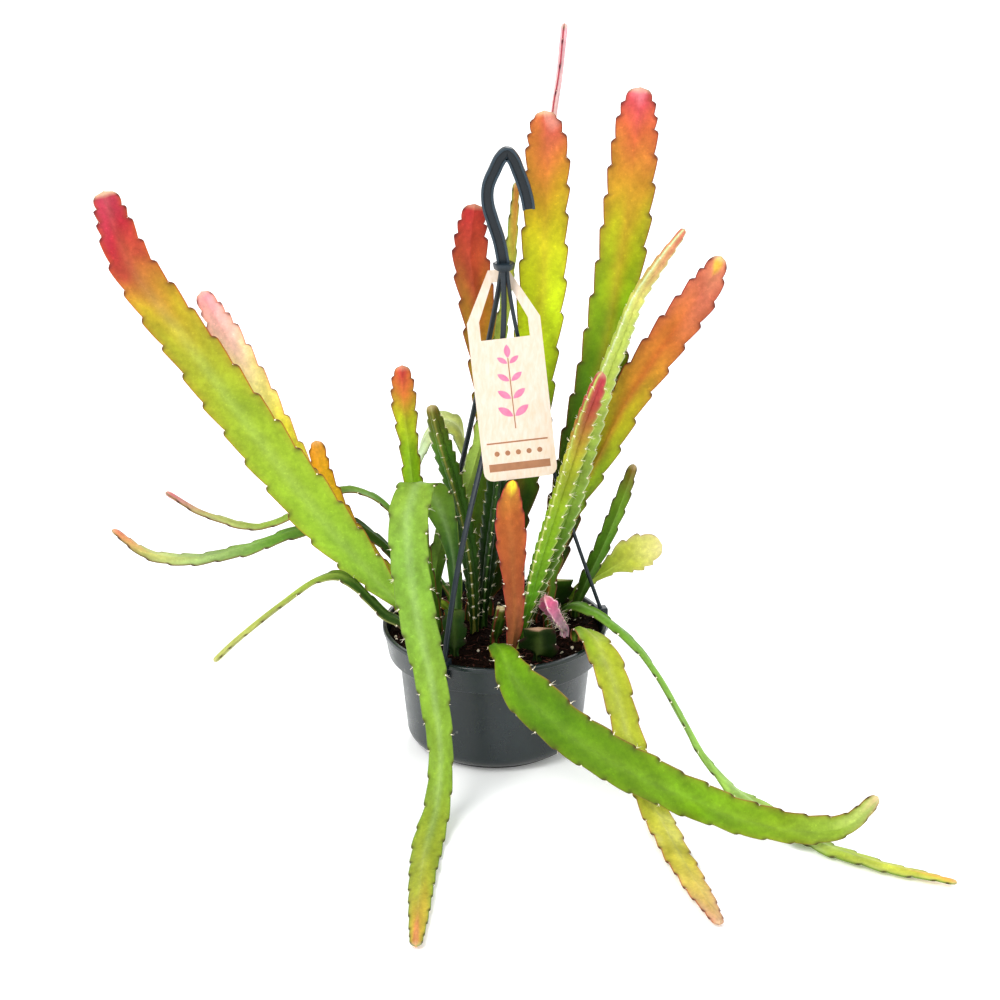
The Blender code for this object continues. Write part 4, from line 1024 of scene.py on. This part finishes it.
def build_stem(stem, number, skin, wool):
    """One stem: its blade or ribs with toothed margins, veins, tint, wool and bristles."""
    run = Run(stem)
    s = run.stations()
    reached = np.maximum(s, 0)
    t = np.clip(s / run.length, 0, 1)
    centre, wide, deep, tangent = run.frame(s)
    width = run.at(reached)[:, 3]
    shrink = run.shrink(s)
    core = FLAT_MIDRIB if stem.ribs == 2 else RIB_CORE
    core = (PEG_R + (core - PEG_R) * np.clip(s / BASE_PLAIN, 0, 1)) * (0.35 + 0.65 * shrink)
    half = np.interp(s, [0, 6, 12], [1.4, 1.0, EDGE_HALF]) * (0.4 + 0.6 * shrink)
    half_turn = math.pi / stem.ribs
    broad = np.clip(width / 30, 0, 1) * np.clip((s - 25) / 30, 0, 1)

    lines = []
    tints = []
    margins = [tooth_marks(stem, run, rib) for rib in range(stem.ribs)]
    for rib, marks in enumerate(margins):
        out, flat = rib_axes(rib, stem.ribs, wide, deep)
        reach = np.maximum(0.5 + 0.8 * shrink,
                           (0.5 * width - tooth_inset(run, stem, reached, marks)) * shrink)
        reach = np.where(s <= 0, PEG_R, reach)
        sag = 0.5 * np.clip(s / 20, 0, 1) * np.clip((reach - core) / 6, 0, 1) * SAG[stem.ribs]
        near = np.minimum(1.0, sum(np.exp(-(((s - mark + 1.4) / 1.7) ** 2)) for mark in marks))
        ripple = 0.0
        if stem.ribs == 2:
            ripple = 0.9 * broad * np.sin(2 * math.pi * s / (2.3 * stem.pitch) + number + 2 * rib)
        span = np.diff(marks).mean() if len(marks) > 1 else stem.pitch
        outline = []
        for side in (-1, 1):
            dx = core * math.cos(half_turn) - (reach - half)
            dy = side * (core * math.sin(half_turn) - half)
            size = np.maximum(0.5, np.hypot(dx, dy))
            for v in (1.0,) + FACE_MARKS[::-1] if side == -1 else FACE_MARKS:
                vein = vein_at(s, v, marks, span) if stem.ribs == 2 else 0.0
                lift = sag * (4 * v * (1 - v)) - 0.16 * vein
                x = reach - half + dx * v - side * dy / size * lift
                y = side * half + dy * v + side * dx / size * lift + ripple * (1 - v) ** 2
                outline.append((x, y, 1 - v, 0.0))
            if side == -1:
                for turn in (-45, 0, 45):
                    a, b = polar(1, math.radians(turn))
                    outline.append((reach - half + half * a, half * b + ripple, 1.0, 1.0))
        for x, y, u, outer in outline:
            lines.append(centre + x[:, None] * out + y[:, None] * flat)
            tints.append(stem_tint(stem, number, rib, t, u, s, near, outer))

    size = len(lines)
    tints = np.stack(tints, axis=1).reshape(-1, 3)
    if not stem.cut:
        tip = smoothstep(run.length - 4.5, run.length - 0.5, np.repeat(s, size))
        tints += (colour(CREAM) - tints) * (stem.cream * tip)[:, None]
    index = np.arange(len(s) * size).reshape(len(s), size)
    following = np.roll(index, -1, axis=1)
    quads = np.stack([index[:-1], following[:-1], following[1:], index[1:]], axis=-1)
    faces = quads.reshape(-1, 4).tolist()
    points = np.stack(lines, axis=1).reshape(-1, 3).tolist()
    tints = tints.tolist()
    for row, shift in ((0, -0.5), (len(s) - 1, 0.0 if stem.cut else 0.35)):
        middle = len(points)
        points.append((centre[row] + shift * tangent[row]).tolist())
        tints.append(tints[int(index[row][0])])
        for one, two in zip(index[row].tolist(), following[row].tolist()):
            faces.append([middle, two, one] if row == 0 else [middle, one, two])
    slots = [0] * len(faces)

    rand = random.Random(SEED + number)
    for rib, marks in enumerate(margins):
        for mark in marks[:-1]:
            add_areole(points, faces, stem, run, rib, mark, marks, rand)
    tints += [WOOL_TINT] * (len(points) - len(tints))
    slots += [1] * (len(faces) - len(slots))
    make_object(stem.name + "_skin", points, faces, [skin, wool], "stem_skin_" + stem.slot,
                (stem.name,), slots, np.array(tints), sharp=62)


def add_areole(points, faces, stem, run, rib, mark, marks, rand):
    """A tuft of wool at a notch, with a few bristles; less of both further up the stem."""
    centre, wide, deep, along = (rows[0] for rows in run.frame(mark))
    out, flat = rib_axes(rib, stem.ribs, wide, deep)
    inset = tooth_inset(run, stem, np.array([mark]), marks)[0]
    reach = max(1.5, 0.5 * run.at(mark)[3] - inset)
    seat = centre + (reach - 0.15) * out + 0.2 * along
    loss, counts = (0.7, (1, 2, 2, 3)) if stem.ribs == 2 else (0.25, (2, 3, 3, 4))
    left = 1 - float(smoothstep(0.3, 0.8, mark / run.length)) * loss
    add_lump(points, faces, seat, stem.wool * rand.uniform(0.65, 0.9) * left, rand)
    if stem.bristle * left < 0.5:
        return
    for _ in range(rand.choice(counts)):
        way = unit(out + along * rand.uniform(-0.2, 1.0) + flat * rand.uniform(-0.8, 0.8))
        add_bristle(points, faces, seat, way, stem.bristle * left * rand.uniform(1.7, 3.2), rand)


def add_bristle(points, faces, seat, way, length, rand):
    """A curved three-sided bristle that ends in a point."""
    side = unit(np.cross(way, (0.3, 0.5, 0.81)))
    other = np.cross(way, side)
    a, b = polar(1, rand.uniform(0, 2 * math.pi))
    bend = 0.3 * length * (a * side + b * other)
    start = len(points)
    for share, radius in ((0.0, 0.15), (0.55, 0.11)):
        middle = seat + share * length * way + share * share * bend
        points.extend((middle + radius * (a * side + b * other)).tolist() for a, b in circle(1, 3))
    points.append((seat + length * way + bend).tolist())
    for i in range(3):
        j = (i + 1) % 3
        faces.append([start + i, start + j, start + 3 + j, start + 3 + i])
        faces.append([start + 3 + i, start + 3 + j, start + 6])
    faces.append([start, start + 2, start + 1])


# Stage

def look_at(obj, place, target):
    obj.location = place
    obj.rotation_euler = (Vector(target) - obj.location).to_track_quat("-Z", "Y").to_euler()
    bpy.context.scene.collection.objects.link(obj)


def build_stage():
    """A white floor, pale surroundings, three soft lights and the camera."""
    bpy.ops.mesh.primitive_plane_add(size=FLOOR_SIZE, location=(0, 0, FLOOR_LEVEL))
    floor = bpy.context.object
    floor.name = "floor"
    n = Nodes("floor_white")
    floor.data.materials.append(n.finish(
        n.mix(n.noise(2, 2), "#f6f8fa", "#fbfcfd"), 0.6, Specular_IOR_Level=0.2,
        Emission_Color="#ffffff", Emission_Strength=0.14))
    scene = bpy.context.scene
    scene.world = bpy.data.worlds.new("studio")
    scene.world.use_nodes = True
    back = scene.world.node_tree.nodes["Background"]
    back.inputs["Color"].default_value = (0.97, 0.985, 1.0, 1)
    back.inputs["Strength"].default_value = 0.72
    for name, place, target, size, power, shade in LIGHTS:
        light = bpy.data.lights.new(name, "AREA")
        light.energy = power
        light.size = size
        light.color = shade
        look_at(bpy.data.objects.new(name, light), place, target)
    scene.view_settings.view_transform = "Standard"
    scene.view_settings.look = "None"

    lens = bpy.data.cameras.new("camera")
    lens.lens = LENS
    lens.sensor_width = SENSOR
    lens.clip_end = 50
    scene.camera = bpy.data.objects.new("camera", lens)
    lift = math.radians(VIEW_LIFT_DEG)
    offset = Vector((0, -math.cos(lift), math.sin(lift)))
    look_at(scene.camera, Vector(VIEW_TARGET) + VIEW_FAR * offset, VIEW_TARGET)


def main():
    build_pot(pot_material())
    build_soil()
    build_hanger(hanger_material())
    build_tag()
    skin = skin_material()
    wool = wool_material()
    for number, stem in enumerate(STEMS):
        build_stem(stem, number, skin, wool)
    build_stage()


main()
